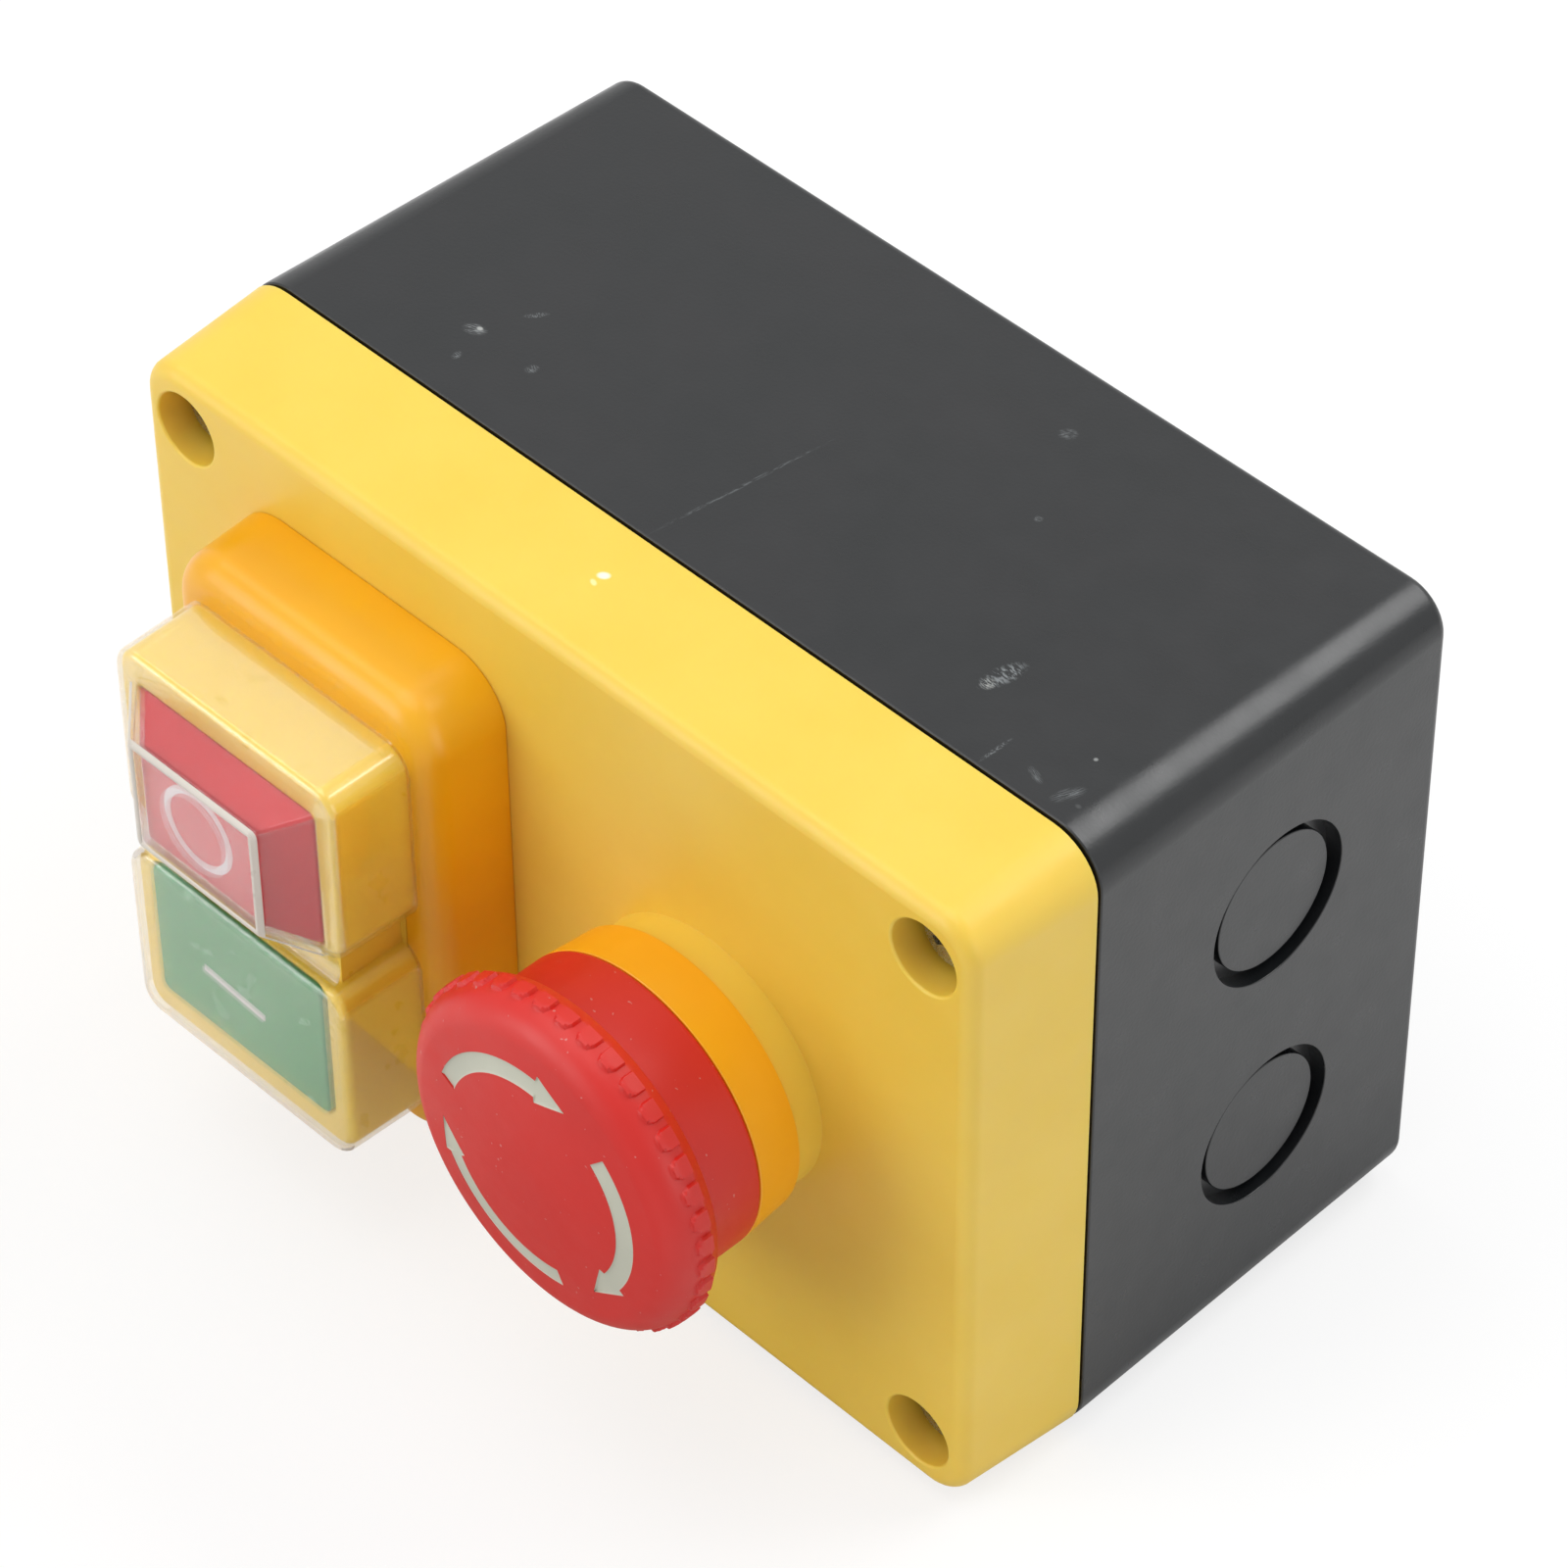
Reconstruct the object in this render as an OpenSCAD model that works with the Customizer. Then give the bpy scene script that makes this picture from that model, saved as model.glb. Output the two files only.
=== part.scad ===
// Control station in a small plastic enclosure: a no-volt release switch with stop and start
// buttons under a clear cover, beside a twist-to-release emergency stop button.
// Every piece is drawn in the panel's frame, X to the right, Y up and Z towards the user, with
// the back mounting face at Z = 0. stand() turns it so that the front faces -Y.

/* [Enclosure] */
// Length of the enclosure at its seam
box_l = 130; // [128:1:170]
// Height of the enclosure at its seam
box_h = 91; // [88:1:120]
// Depth of the black base, from its back face to its rim
base_depth = 54.1; // [52:0.1:80]
// Depth of the yellow lid, from its rear rim to its front face
lid_depth = 17; // [16:0.1:22]
// Gap between the base's rim and the lid's rim, filled by the gasket
seam_gap = 0.4; // [0.2:0.1:0.8]
// Radius of the enclosure's upright corners
corner_r = 6.5; // [5.5:0.1:8]
// Thickness of the side walls and of the lid's front wall
wall = 3; // [2.5:0.1:3.5]
// Thickness of the base's floor
floor_t = 3; // [2.5:0.1:4]
// How far each side of the base draws in at the back face
base_draft = 1.15; // [0.5:0.05:1.5]
// How far each side of the lid draws in at the front face
lid_draft = 1.2; // [0.6:0.05:1.4]
// Radius of the lid's front edge
lid_edge_r = 1.8; // [0.8:0.1:2.4]
// Radius of the base's back edge
base_edge_r = 1.2; // [0.6:0.1:2]

/* [Lid screws] */
// Distance of the screws' axes from the enclosure's ends
screw_inset_x = 8.2; // [8:0.1:9.5]
// Distance of the screws' axes from the enclosure's long sides
screw_inset_y = 8.6; // [8.2:0.1:9.5]
// Diameter of the counterbores in the lid
counterbore_d = 9.2; // [8.8:0.1:9.6]
// Depth of the counterbores in the lid
counterbore_depth = 7.6; // [6:0.1:9]
// Shank diameter of the lid screws
screw_d = 4; // [3.5:0.1:4.5]
// Length of the lid screws under the head
screw_len = 30; // [22:1:36]

/* [Wall fixing and cable entries] */
// Spacing of the fixing holes along the length
fix_span_x = 100; // [80:1:102]
// Spacing of the fixing holes across the height
fix_span_y = 60; // [40:1:62]
// Diameter of the fixing holes in the floor
fix_d = 4.5; // [4:0.1:5.5]
// Diameter of the round knockouts in the right end wall
knockout_d = 20.4; // [16.4:0.1:20.8]
// Distance between the two knockouts' centres
knockout_pitch = 34.4; // [30:0.1:38]
// Height of the knockouts' centres above the back face
knockout_rise = 25.5; // [22:0.1:30]
// Width of the groove that outlines a knockout
knockout_groove = 1.5; // [0.8:0.1:1.8]
// Depth of the groove that outlines a knockout
knockout_depth = 2.2; // [1.6:0.1:2.3]
// How far a knockout's disc lies under the wall's face
knockout_recess = 0.75; // [0.3:0.05:1]

/* [Switch collar and frame] */
// Place of the start and stop switch along the length
switch_x = -26.9; // [-30:0.1:-26]
// Width of the pale button frame
frame_w = 34; // [33:0.1:35]
// Height of the pale button frame
frame_h = 53.6; // [52:0.1:55]
// How far the frame's towers stand out of the collar
frame_rise = 10.4; // [9.5:0.1:13]
// Gap between the two towers of the frame
tower_gap = 5.2; // [4:0.1:5.6]
// Corner radius of the frame's towers
frame_r = 3; // [2:0.1:4]
// How far the amber collar reaches past the frame on the left and on the right
collar_side = 4.45; // [4:0.05:4.8]
// How far the amber collar reaches past the frame above and below
collar_end = 6.8; // [6.3:0.1:7.5]
// How far the collar stands out of the lid
collar_t = 11; // [10:0.1:14]
// Corner radius of the collar
collar_r = 7.5; // [6:0.1:9]
// Radius of the collar's front edge
collar_edge_r = 3.6; // [2.5:0.1:4]
// Wall thickness of the collar
collar_wall = 2.6; // [2.2:0.1:3]

/* [Buttons and clear cover] */
// Distance of both buttons from the gap between the towers
button_inset = 1; // [0.9:0.05:1.3]
// Width of the frame beside the stop button
stop_side = 2.9; // [2.6:0.1:3.6]
// Width of the frame above the stop button
stop_end = 3.8; // [3.4:0.1:4.4]
// How far the stop button's left and right sides slope in
stop_slope_x = 4.5; // [3:0.1:6]
// How far the stop button's upper and lower sides slope in
stop_slope_y = 2.5; // [1.5:0.1:4]
// How far the stop button's front face stands out of the frame
stop_rise = 4.1; // [3.6:0.1:5]
// Width of the frame beside the start button
start_side = 2.5; // [2.3:0.1:3.4]
// Width of the frame below the start button
start_end = 3.5; // [3.3:0.1:4.2]
// How far the start button's face stands out of the frame
start_rise = 0.3; // [0.1:0.1:0.5]
// Corner radius of the start button
start_r = 1.3; // [0.8:0.1:2]
// Gap between a button and its pocket, on each side
button_gap = 0.3; // [0.2:0.05:0.4]
// Travel of the stop and start buttons
button_travel = 3; // [2:0.1:3.2]
// Thickness of the clear cover's skin
cover_t = 0.8; // [0.6:0.1:1]
// Gap between the clear cover and what it covers
cover_gap = 0.3; // [0.2:0.05:0.4]

/* [Switch mechanism] */
// Depth of the switch housing behind the lid's front wall
housing_depth = 42.5; // [42:0.1:44]
// Thickness of the housing's side walls around the frame's tube
housing_wall = 2.3; // [2:0.1:3]
// Thickness of the housing's rear wall
housing_floor = 3; // [2.5:0.1:3.5]
// Diameter of the button stems
stem_d = 6; // [5:0.1:6.4]
// Mean diameter of the button springs
button_spring_d = 9.2; // [8.6:0.1:10]
// Length of the spade tabs behind the housing
tab_len = 8; // [6:0.1:10]

/* [Emergency stop button] */
// Place of the emergency stop button along the length
estop_x = 25.4; // [25:0.1:30]
// Diameter of the mushroom head over its grip pads
head_d = 43.4; // [42.8:0.1:46]
// How far the sleeve, ring and boss lie inside the head's edge
sleeve_inset = 3.3; // [3:0.1:3.6]
// Gap between the red sleeve and the head's rear edge
head_gap = 0.7; // [0.5:0.1:1]
// Thickness of the head, from its rear edge to the middle of its face
head_t = 7.9; // [7.7:0.1:9]
// How far the face is domed
dome_rise = 1.3; // [0.8:0.1:1.6]
// Radius of the head's shoulder
shoulder_r = 4; // [3:0.1:4.4]
// Number of grip pads around the edge
pad_count = 40; // [24:1:44]
// Width of a grip pad
pad_w = 2.2; // [1.6:0.1:2.4]
// How far the grip pads stand out of the edge
pad_rise = 0.45; // [0.3:0.05:0.6]
// Length of the red sleeve
sleeve_h = 7.8; // [7:0.1:8]
// Height of the orange ring
ring_h = 6.2; // [5:0.1:8]
// How far the ring tapers in towards the lid
ring_taper = 0.5; // [0.3:0.05:0.8]
// Height of the raised boss on the lid
boss_h = 4.2; // [3.8:0.1:5]
// Travel of the head when it is struck
estop_travel = 4.5; // [3.5:0.1:4.6]
// Diameter of the threaded barrel
barrel_d = 21.8; // [21.6:0.1:22]
// Diameter of the stem inside the barrel
plunger_d = 14.24; // [13.8:0.02:14.24]

/* [Contact block] */
// Width of the contact block
block_w = 30; // [28:0.1:34]
// Height of the contact block
block_h = 24; // [22:0.1:28]
// Depth of the contact block
block_depth = 24; // [23:0.1:26]

/* [Hidden] */
// Smoothness of round cuts, of rounded shells and of coil springs
fine = 64;
shell_fn = 32;
coil_steps = 12;
coil_sides = 6;
// Overshoot of a cut past the face it opens, and overlap of two joined solids
cut = 0.5;
lap = 0.1;
// Fits, each on the radius or on one side: free, loose, close and running, and a spring's end gap
free = 0.3;
loose = 0.2;
snug = 0.1;
running = 0.05;
seat_gap = 0.02;
// Room below the end of a screw in its hole
screw_tip = 2;

// Enclosure: levels along Z, screw pillars, fixing bosses and gasket
seam_z = base_depth + seam_gap;
front_z = seam_z + lid_depth;
lid_inner_z = front_z - wall;
screw_x = box_l / 2 - screw_inset_x;
screw_y = box_h / 2 - screw_inset_y;
pillar_wall = 1.4;
pillar_r = counterbore_d / 2 + pillar_wall;
inner_edge_r = 1;
fix_boss_wall = 3;
fix_boss_h = 1.5;
gasket_inset = 0.9;
gasket_w = 1.4;
gasket_groove = 1;
lid_screw_gap = 0.8;
lid_screw_head_d = counterbore_d - 2 * lid_screw_gap;
lid_screw_head_h = 3.2;
lid_screw_z = front_z - counterbore_depth;

// Frame, its tube through the lid, and the collar around it
collar_z = front_z + collar_t;
rim_z = collar_z + frame_rise;
frame_draft = 0.2;
frame_edge_r = 0.8;
frame_sink = 2.5;
frame_bottom_z = lid_inner_z - frame_sink;
frame_floor = 2;
tower_h = (frame_h - tower_gap) / 2;
tower_y = (frame_h + tower_gap) / 4;
tube_inset = 1.2;
tube_r = 1.4;
tube_root = 0.6;
tube_w = frame_w - 2 * tube_inset;
tube_h = frame_h - 2 * tube_inset;
collar_w = frame_w + 2 * collar_side;
collar_h = frame_h + 2 * collar_end;
collar_draft = 0.4;
collar_seal_w = 1.3;
collar_seal_t = 1.5;
collar_seal_inset = 1.2;
collar_rim = collar_seal_inset + collar_seal_w + snug;
collar_screw_r = 1.4;
collar_pillar_r = 3.2;
collar_head_r = 2.5;
collar_head_h = 1.8;
collar_head_gap = 0.5;
collar_screw_grip = 7;
collar_screw_x = tube_w / 2;
collar_screw_y = tube_h / 2 + collar_head_r + collar_head_gap;

// Buttons and cover
stop_w = frame_w - 2 * stop_side;
stop_h = tower_h - button_inset - stop_end;
stop_face_w = stop_w - 2 * stop_slope_x;
stop_face_h = stop_h - 2 * stop_slope_y;
stop_pocket_r = 0.8;
start_w = frame_w - 2 * start_side;
start_h = tower_h - button_inset - start_end;
stop_y = (tower_gap + stop_h) / 2 + button_inset;
start_y = -(tower_gap + start_h) / 2 - button_inset;
button_skirt = 8;
button_wall = 1.5;
button_roof = 1.7;
spring_wire_r = 0.5;
spring_turns = 5;
cover_edge_r = 0.7;
face_growth = 1.3;
web_inset = 2;
web_t = 1.2;

// Switch housing and what it holds, from its rear wall forwards
housing_w = tube_w + 2 * housing_wall;
housing_h = tube_h + 2 * housing_wall;
housing_r = 2;
housing_z = lid_inner_z - housing_depth;
cavity_z = housing_z + housing_floor;
cavity_inset = 1.3;
cavity_w = tube_w - 2 * cavity_inset;
cavity_h = tube_h - 2 * cavity_inset;
cavity_r = 1;
housing_pillar_r = 3.2;
housing_pillar_inset = 3;
housing_screw_x = cavity_w / 2 - housing_pillar_inset;
housing_screw_r = 1.5;
housing_screw_grip = 10;
housing_head_d = 5.4;
housing_head_h = 2;
magnet_gap = 1.8;
magnet_w = 2 * (housing_screw_x - housing_pillar_r - magnet_gap);
magnet_h = 26;
magnet_y = -6;
yoke_t = 3;
leg_t = 3;
core_t = 8;
core_lead = 1;
bobbin_z = cavity_z + yoke_t;
bobbin_len = 12.8;
bobbin_wall = 1.2;
bobbin_flange = 1;
bobbin_side = 1;
bobbin_gap = 0.7;
bobbin_top = bobbin_z + bobbin_len;
bobbin_w = magnet_w + 2 * bobbin_side;
bobbin_h = magnet_h - 2 * leg_t - 2 * bobbin_gap;
winding_inset = 0.5;
winding_r = 1.8;
yoke_top = bobbin_top + core_lead;
armature_z = yoke_top + button_travel + loose;
armature_t = 2.5;
carriage_z = armature_z + armature_t;
carriage_t = 4;
carriage_top = carriage_z + carriage_t;
carriage_side = 1;
carriage_end = 2;
slot_rise = 0.6;
start_stem_z = carriage_top + free;
contact_t = 0.8;
contact_w = 3.6;
contact_reach = 4.6;
rear_contact_y = -16;
front_contact_y = 6;
contact_y = [rear_contact_y, front_contact_y];
bridge_t = 1;
bridge_gap = 0.9;
blade_inset = 0.5;
blade_x = cavity_w / 2 - blade_inset;
bridge_half = blade_x - contact_t - bridge_gap;
stop_bridge_z = start_stem_z - contact_t;
stop_bridge_w = 5.6;
pin_tip = 2;
pin_r = 2;

// Emergency stop button: boss, ring, sleeve and head
sleeve_d = head_d - 2 * sleeve_inset;
ring_d1 = sleeve_d - snug;
ring_d0 = ring_d1 - 2 * ring_taper;
ring_edge = 0.4;
boss_overlap = 1.35;
boss_d = ring_d0 - 2 * boss_overlap;
boss_foot_r = 0.9;
boss_top_r = 0.5;
boss_root = 1;
boss_z = front_z + boss_h;
ring_z = boss_z + ring_h;
sleeve_z = ring_z + sleeve_h;
sleeve_edge_r = 1.2;
sleeve_floor = 2.1;
head_z = sleeve_z + head_gap;
strike_gap = 0.4;
head_skirt_gap = 0.65;
head_roof_z = sleeve_z + estop_travel + strike_gap;
head_cavity_r = sleeve_d / 2 + head_skirt_gap;
rim_r = head_d / 2 - pad_rise;
shoulder_z = head_z + head_t - dome_rise - shoulder_r;
dome_half = rim_r - shoulder_r;
dome_r = (dome_half * dome_half + dome_rise * dome_rise) / (2 * dome_rise);
head_skirt_h = 1.4;
head_skirt_taper = 0.45;
pad_phase = 6;
pad_root = 0.4;
pad_end = 15;
pad_tip = 0.05;
seal_r0 = 12.5;
seal_r1 = 15;
seal_t = 1;

// Emergency stop button: barrel, nut and stem
barrel_r = barrel_d / 2;
barrel_reach = 20.5;
barrel_z = lid_inner_z - barrel_reach;
barrel_bore_r = barrel_r + loose;
flange_z = ring_z + sleeve_floor;
flange_t = 2;
flange_r = 14.6;
flange_gap = 0.6;
guide_len = 12;
chamber_r = 9;
chamber_z = barrel_z + guide_len;
nut_r = 13.6;
nut_t = 3.8;
nut_gap = 1.2;
core_depth = boss_h;
plunger_r = plunger_d / 2;
plunger_fit = 0.08;
plunger_lead = 1.7;
plunger_z = barrel_z - plunger_lead;
plunger_flange_t = 2;
plunger_flange_z = flange_z - plunger_flange_t;
neck_r = 5;
neck_socket = 3.2;
neck_top = head_z + neck_socket;
neck_boss_r = 8;
neck_boss_drop = 2.2;

// Contact block and its holder
holder_half = 4;
holder_side = 1;
holder_end = 3;
holder_r = 2;
holder_top = barrel_z + holder_half;
holder_z = barrel_z - holder_half;
block_z = holder_z - block_depth;
block_wall = 1.5;
block_floor = 2;
pusher_r = 6.5;
pusher_top = plunger_z - free;
pusher_disc = 3.5;
pusher_neck_r = 3;
pusher_tip = 3;
pusher_bore_gap = 1;
bridge_rise = 10.7;
bridge_z = block_z + bridge_rise;
bridge_len = 20;
bridge_w = 5;
terminal_z = bridge_z + bridge_t + free;
terminal_out = 5.4;
terminal_reach = block_w / 2 + terminal_out;
terminal_inner = 7;
terminal_bank_h = 10;
terminal_bank_rise = 4;
terminal_head_d = 5;
terminal_screw_x = (block_w + terminal_head_d) / 2 + loose;
terminal_screw_r = 1.5;
terminal_screw_len = 5.5;
terminal_head_h = 2;
contact_wire_r = 0.35;
contact_spring_gap = 0.8;
contact_turns = 4;

// Turns a piece from the panel's frame to the upright part
module stand() { rotate([90, 0, 0]) children(); }

// Copies a child to the four places (dx, dy), mirrored about both axes
module at_corners(dx, dy) {
    for (sx = [-1, 1], sy = [-1, 1]) translate([sx * dx, sy * dy, 0]) children();
}

// A disc or rod of radius r between two levels
module rod(r, z0, z1) { translate([0, 0, z0]) cylinder(r = r, h = z1 - z0, $fn = fine); }

// A tube between two levels
module tube(r_out, r_in, z0, z1) {
    difference() {
        rod(r_out, z0, z1);
        rod(r_in, z0 - cut, z1 + cut);
    }
}

// A rectangular block, centred on X and Y, between two levels
module slab(w, h, z0, z1) {
    translate([-w / 2, -h / 2, z0]) cube([w, h, z1 - z0]);
}

// A rectangle with round corners
module rounded_rect(w, h, r) {
    square([w - 2 * r, h], center = true);
    square([w, h - 2 * r], center = true);
    for (sx = [-1, 1], sy = [-1, 1])
        translate([sx * (w / 2 - r), sy * (h / 2 - r)]) circle(r, $fn = fine);
}

// A plate with round corners between two levels
module rounded_plate(w, h, r, z0, z1) {
    translate([0, 0, z0]) linear_extrude(z1 - z0) rounded_rect(w, h, r);
}

// One round corner of a moulded shell: it draws in by draft and ends in an edge of radius e
module shell_corner(r, t, draft, e) {
    rotate_extrude($fn = shell_fn)
        polygon(concat([[0, 0], [r, 0]],
            [for (a = [0:15:90]) [r - draft - e + e * cos(a), t - e + e * sin(a)]], [[0, t]]));
}

// A moulded block with round corners, draft and a round front edge, standing on z0
module moulded(w, h, r, z0, t, draft, e) {
    translate([0, 0, z0]) hull()
        at_corners(w / 2 - r, h / 2 - r) shell_corner(r, t, draft, e);
}

// The same block turned over, with its wide end at z1
module moulded_back(w, h, r, z1, t, draft, e) {
    translate([0, 0, z1]) mirror([0, 0, 1]) moulded(w, h, r, 0, t, draft, e);
}

// A four-sided frustum between two levels
module frustum(w0, h0, z0, w1, h1, z1) {
    skin = 0.01;
    hull() {
        slab(w0, h0, z0, z0 + skin);
        slab(w1, h1, z1 - skin, z1);
    }
}

// A compression spring of round wire, standing on z0
module coil_spring(r, wire_r, z0, length, turns) {
    steps = turns * coil_steps;
    points = [for (i = [0:steps], j = [0:coil_sides - 1])
        let (a = 360 * i / coil_steps, b = 360 * j / coil_sides, reach = r + wire_r * cos(b))
        [reach * cos(a), reach * sin(a),
            z0 + wire_r + (length - 2 * wire_r) * i / steps + wire_r * sin(b)]];
    sides = [for (i = [0:steps - 1], j = [0:coil_sides - 1])
        let (k = (j + 1) % coil_sides, a = i * coil_sides, b = a + coil_sides)
        each [[a + j, a + k, b + k], [a + j, b + k, b + j]]];
    ends = [[for (j = [coil_sides - 1:-1:0]) j], [for (j = [0:coil_sides - 1]) steps * coil_sides + j]];
    polyhedron(points, concat(sides, ends));
}

// A screw with a round head whose underside is at z; the shank runs towards the back
module screw(head_d, head_h, d, length, z) {
    slot_w = head_d / 6;
    slot_share = 0.62;
    slot_floor = 0.45;
    difference() {
        union() {
            rod(head_d / 2, z, z + head_h);
            rod(d / 2, z - length, z);
        }
        for (a = [0, 90]) rotate([0, 0, a])
            slab(head_d * slot_share, slot_w, z + head_h * slot_floor, z + head_h + cut);
    }
}

// Shape that the base and its cavity share: straight sides with draft towards the back
module base_shape(inset, z1, depth) {
    moulded_back(box_l - 2 * inset, box_h - 2 * inset, corner_r - inset, z1, depth, base_draft,
        base_edge_r);
}

// What is cut from the right end wall: a deep groove around each knockout's slightly sunken disc
module knockout_cuts() {
    lean = atan(base_draft / base_depth);
    wall_x = box_l / 2 - base_draft * (1 - knockout_rise / base_depth);
    outer = knockout_d / 2;
    for (sy = [-1, 1]) translate([wall_x, sy * knockout_pitch / 2, knockout_rise])
        rotate([0, 90 + lean, 0]) {
            rod(outer, -knockout_recess, cut);
            tube(outer, outer - knockout_groove, -knockout_depth, cut);
        }
}

module base_box() {
    color("#25282b") stand() difference() {
        base_shape(0, base_depth, base_depth);
        difference() {
            base_shape(wall, base_depth + cut, base_depth + cut - floor_t);
            at_corners(screw_x, screw_y) rod(pillar_r, 0, base_depth + 2 * cut);
            at_corners(fix_span_x / 2, fix_span_y / 2)
                rod(fix_d / 2 + fix_boss_wall, 0, floor_t + fix_boss_h);
        }
        at_corners(screw_x, screw_y)
            rod(screw_d / 2 + running, lid_screw_z - screw_len - screw_tip, base_depth + cut);
        at_corners(fix_span_x / 2, fix_span_y / 2) rod(fix_d / 2, -cut, floor_t + fix_boss_h + cut);
        knockout_cuts();
    }
}

// Outline of the gasket, and of its groove when grown by gap
module gasket_outline(gap) {
    outer = gasket_inset - gap;
    inner = gasket_inset + gasket_w + gap;
    difference() {
        rounded_rect(box_l - 2 * outer, box_h - 2 * outer, corner_r - outer);
        rounded_rect(box_l - 2 * inner, box_h - 2 * inner, corner_r - inner);
    }
}

module lid_gasket() {
    color("#1b1b1b") stand()
        translate([0, 0, base_depth]) linear_extrude(seam_gap + gasket_groove) gasket_outline(0);
}

// The raised boss under the emergency stop button, with a small fillet at its foot
module boss() {
    foot = boss_d / 2 + boss_foot_r;
    top = boss_d / 2 - boss_top_r;
    translate([0, 0, front_z]) rotate_extrude($fn = fine)
        polygon(concat([[0, -boss_root], [foot, -boss_root]],
            [for (a = [270:-15:180]) [foot + boss_foot_r * cos(a), boss_foot_r * (1 + sin(a))]],
            [for (a = [0:30:90]) [top + boss_top_r * cos(a), boss_h - boss_top_r * (1 - sin(a))]],
            [[0, boss_h]]));
}

module lid() {
    color("#f2c52c") stand() difference() {
        union() {
            moulded(box_l, box_h, corner_r, seam_z, lid_depth, lid_draft, lid_edge_r);
            translate([estop_x, 0, 0]) boss();
        }
        difference() {
            moulded(box_l - 2 * wall, box_h - 2 * wall, corner_r - wall, seam_z - cut,
                lid_depth + cut - wall, lid_draft, inner_edge_r);
            at_corners(screw_x, screw_y) rod(pillar_r, seam_z - 2 * cut, front_z);
        }
        translate([0, 0, seam_z - cut]) linear_extrude(gasket_groove + cut) gasket_outline(snug);
        at_corners(screw_x, screw_y) rod(counterbore_d / 2, lid_screw_z, front_z + cut);
        at_corners(screw_x, screw_y) rod(screw_d / 2 + free, seam_z - cut, front_z);
        translate([switch_x, 0, 0])
            rounded_plate(tube_w + 2 * free, tube_h + 2 * free, tube_r, lid_inner_z - cut, front_z + cut);
        translate([switch_x, 0, 0]) at_corners(collar_screw_x, collar_screw_y)
            rod(collar_screw_r + free, lid_inner_z - cut, front_z + cut);
        translate([estop_x, 0, 0]) rod(barrel_bore_r, lid_inner_z - cut, boss_z + cut);
        translate([estop_x, 0, 0]) rod(nut_r + nut_gap, lid_inner_z - cut, lid_inner_z + core_depth);
    }
}

module lid_screws() {
    color("silver") stand() at_corners(screw_x, screw_y)
        screw(lid_screw_head_d, lid_screw_head_h, screw_d - 2 * running, screw_len, lid_screw_z);
}

module switch_collar() {
    color("#f5a010") stand() translate([switch_x, 0, 0]) difference() {
        moulded(collar_w, collar_h, collar_r, front_z, collar_t, collar_draft, collar_edge_r);
        difference() {
            inset = collar_wall + collar_rim - collar_seal_inset;
            moulded(collar_w - 2 * inset, collar_h - 2 * inset, collar_r - inset, front_z - cut,
                collar_t + cut - collar_wall, collar_draft, inner_edge_r);
            at_corners(collar_screw_x, collar_screw_y) rod(collar_pillar_r, front_z - 2 * cut, collar_z);
        }
        translate([0, 0, front_z - cut]) linear_extrude(collar_seal_t + cut) collar_seal_outline(snug);
        rounded_plate(tube_w + 2 * snug, tube_h + 2 * snug, tube_r + snug, front_z, collar_z + cut);
        at_corners(collar_screw_x, collar_screw_y)
            rod(collar_screw_r + running, front_z - cut, front_z + collar_screw_grip + screw_tip / 2);
    }
}

module collar_seal_outline(gap) {
    outer = collar_seal_inset - gap;
    inner = collar_seal_inset + collar_seal_w + gap;
    difference() {
        rounded_rect(collar_w - 2 * outer, collar_h - 2 * outer, collar_r - outer);
        rounded_rect(collar_w - 2 * inner, collar_h - 2 * inner, collar_r - inner);
    }
}

module collar_seal() {
    color("#222222") stand() translate([switch_x, 0, front_z])
        linear_extrude(collar_seal_t) collar_seal_outline(0);
}

module collar_screws() {
    color("silver") stand() translate([switch_x, 0, 0]) at_corners(collar_screw_x, collar_screw_y)
        translate([0, 0, lid_inner_z]) mirror([0, 0, 1])
            screw(2 * collar_head_r, collar_head_h, 2 * collar_screw_r, wall + collar_screw_grip, 0);
}

module switch_frame() {
    color("#ecd277") stand() translate([switch_x, 0, 0]) difference() {
        union() {
            for (sy = [-1, 1]) translate([0, sy * tower_y, 0]) {
                moulded(frame_w, tower_h, frame_r, collar_z, frame_rise, frame_draft, frame_edge_r);
                slab(tube_w - 2 * tube_r, tower_h - 2 * tube_inset, collar_z - tube_root,
                    collar_z + tube_root);
            }
            rounded_plate(tube_w, tube_h, tube_r, frame_bottom_z, collar_z);
        }
        translate([0, stop_y, 0]) rounded_plate(stop_w + 2 * button_gap, stop_h + 2 * button_gap,
            stop_pocket_r, frame_bottom_z + frame_floor, rim_z + cut);
        translate([0, start_y, 0]) rounded_plate(start_w + 2 * button_gap, start_h + 2 * button_gap,
            start_r + button_gap, frame_bottom_z + frame_floor, rim_z + cut);
        for (y = [stop_y, start_y]) translate([0, y, 0])
            rod(stem_d / 2 + free, frame_bottom_z - cut, frame_bottom_z + frame_floor + cut);
        for (sx = [-1, 1]) translate([sx * housing_screw_x, 0, 0])
            rod(housing_screw_r + running, frame_bottom_z - cut,
                frame_bottom_z + housing_screw_grip + screw_tip);
    }
}

// One dome of the clear cover over a tower of the frame, grown by skin
module cover_dome(sy, skin) {
    over = cover_gap + skin;
    translate([0, sy * tower_y, 0])
        moulded(frame_w + 2 * over, tower_h + 2 * over, frame_r + over, collar_z - (skin > 0 ? 0 : cut),
            frame_rise + start_rise + over + (skin > 0 ? 0 : cut), frame_draft, cover_edge_r + skin);
}

// The pyramid that the cover forms over the stop button, grown by skin
module cover_pyramid(skin) {
    over = cover_gap + skin;
    translate([0, stop_y, 0])
        frustum(stop_w + 2 * over, stop_h + 2 * over, rim_z, stop_face_w + face_growth * over,
            stop_face_h + face_growth * over, rim_z + stop_rise + over);
}

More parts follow.
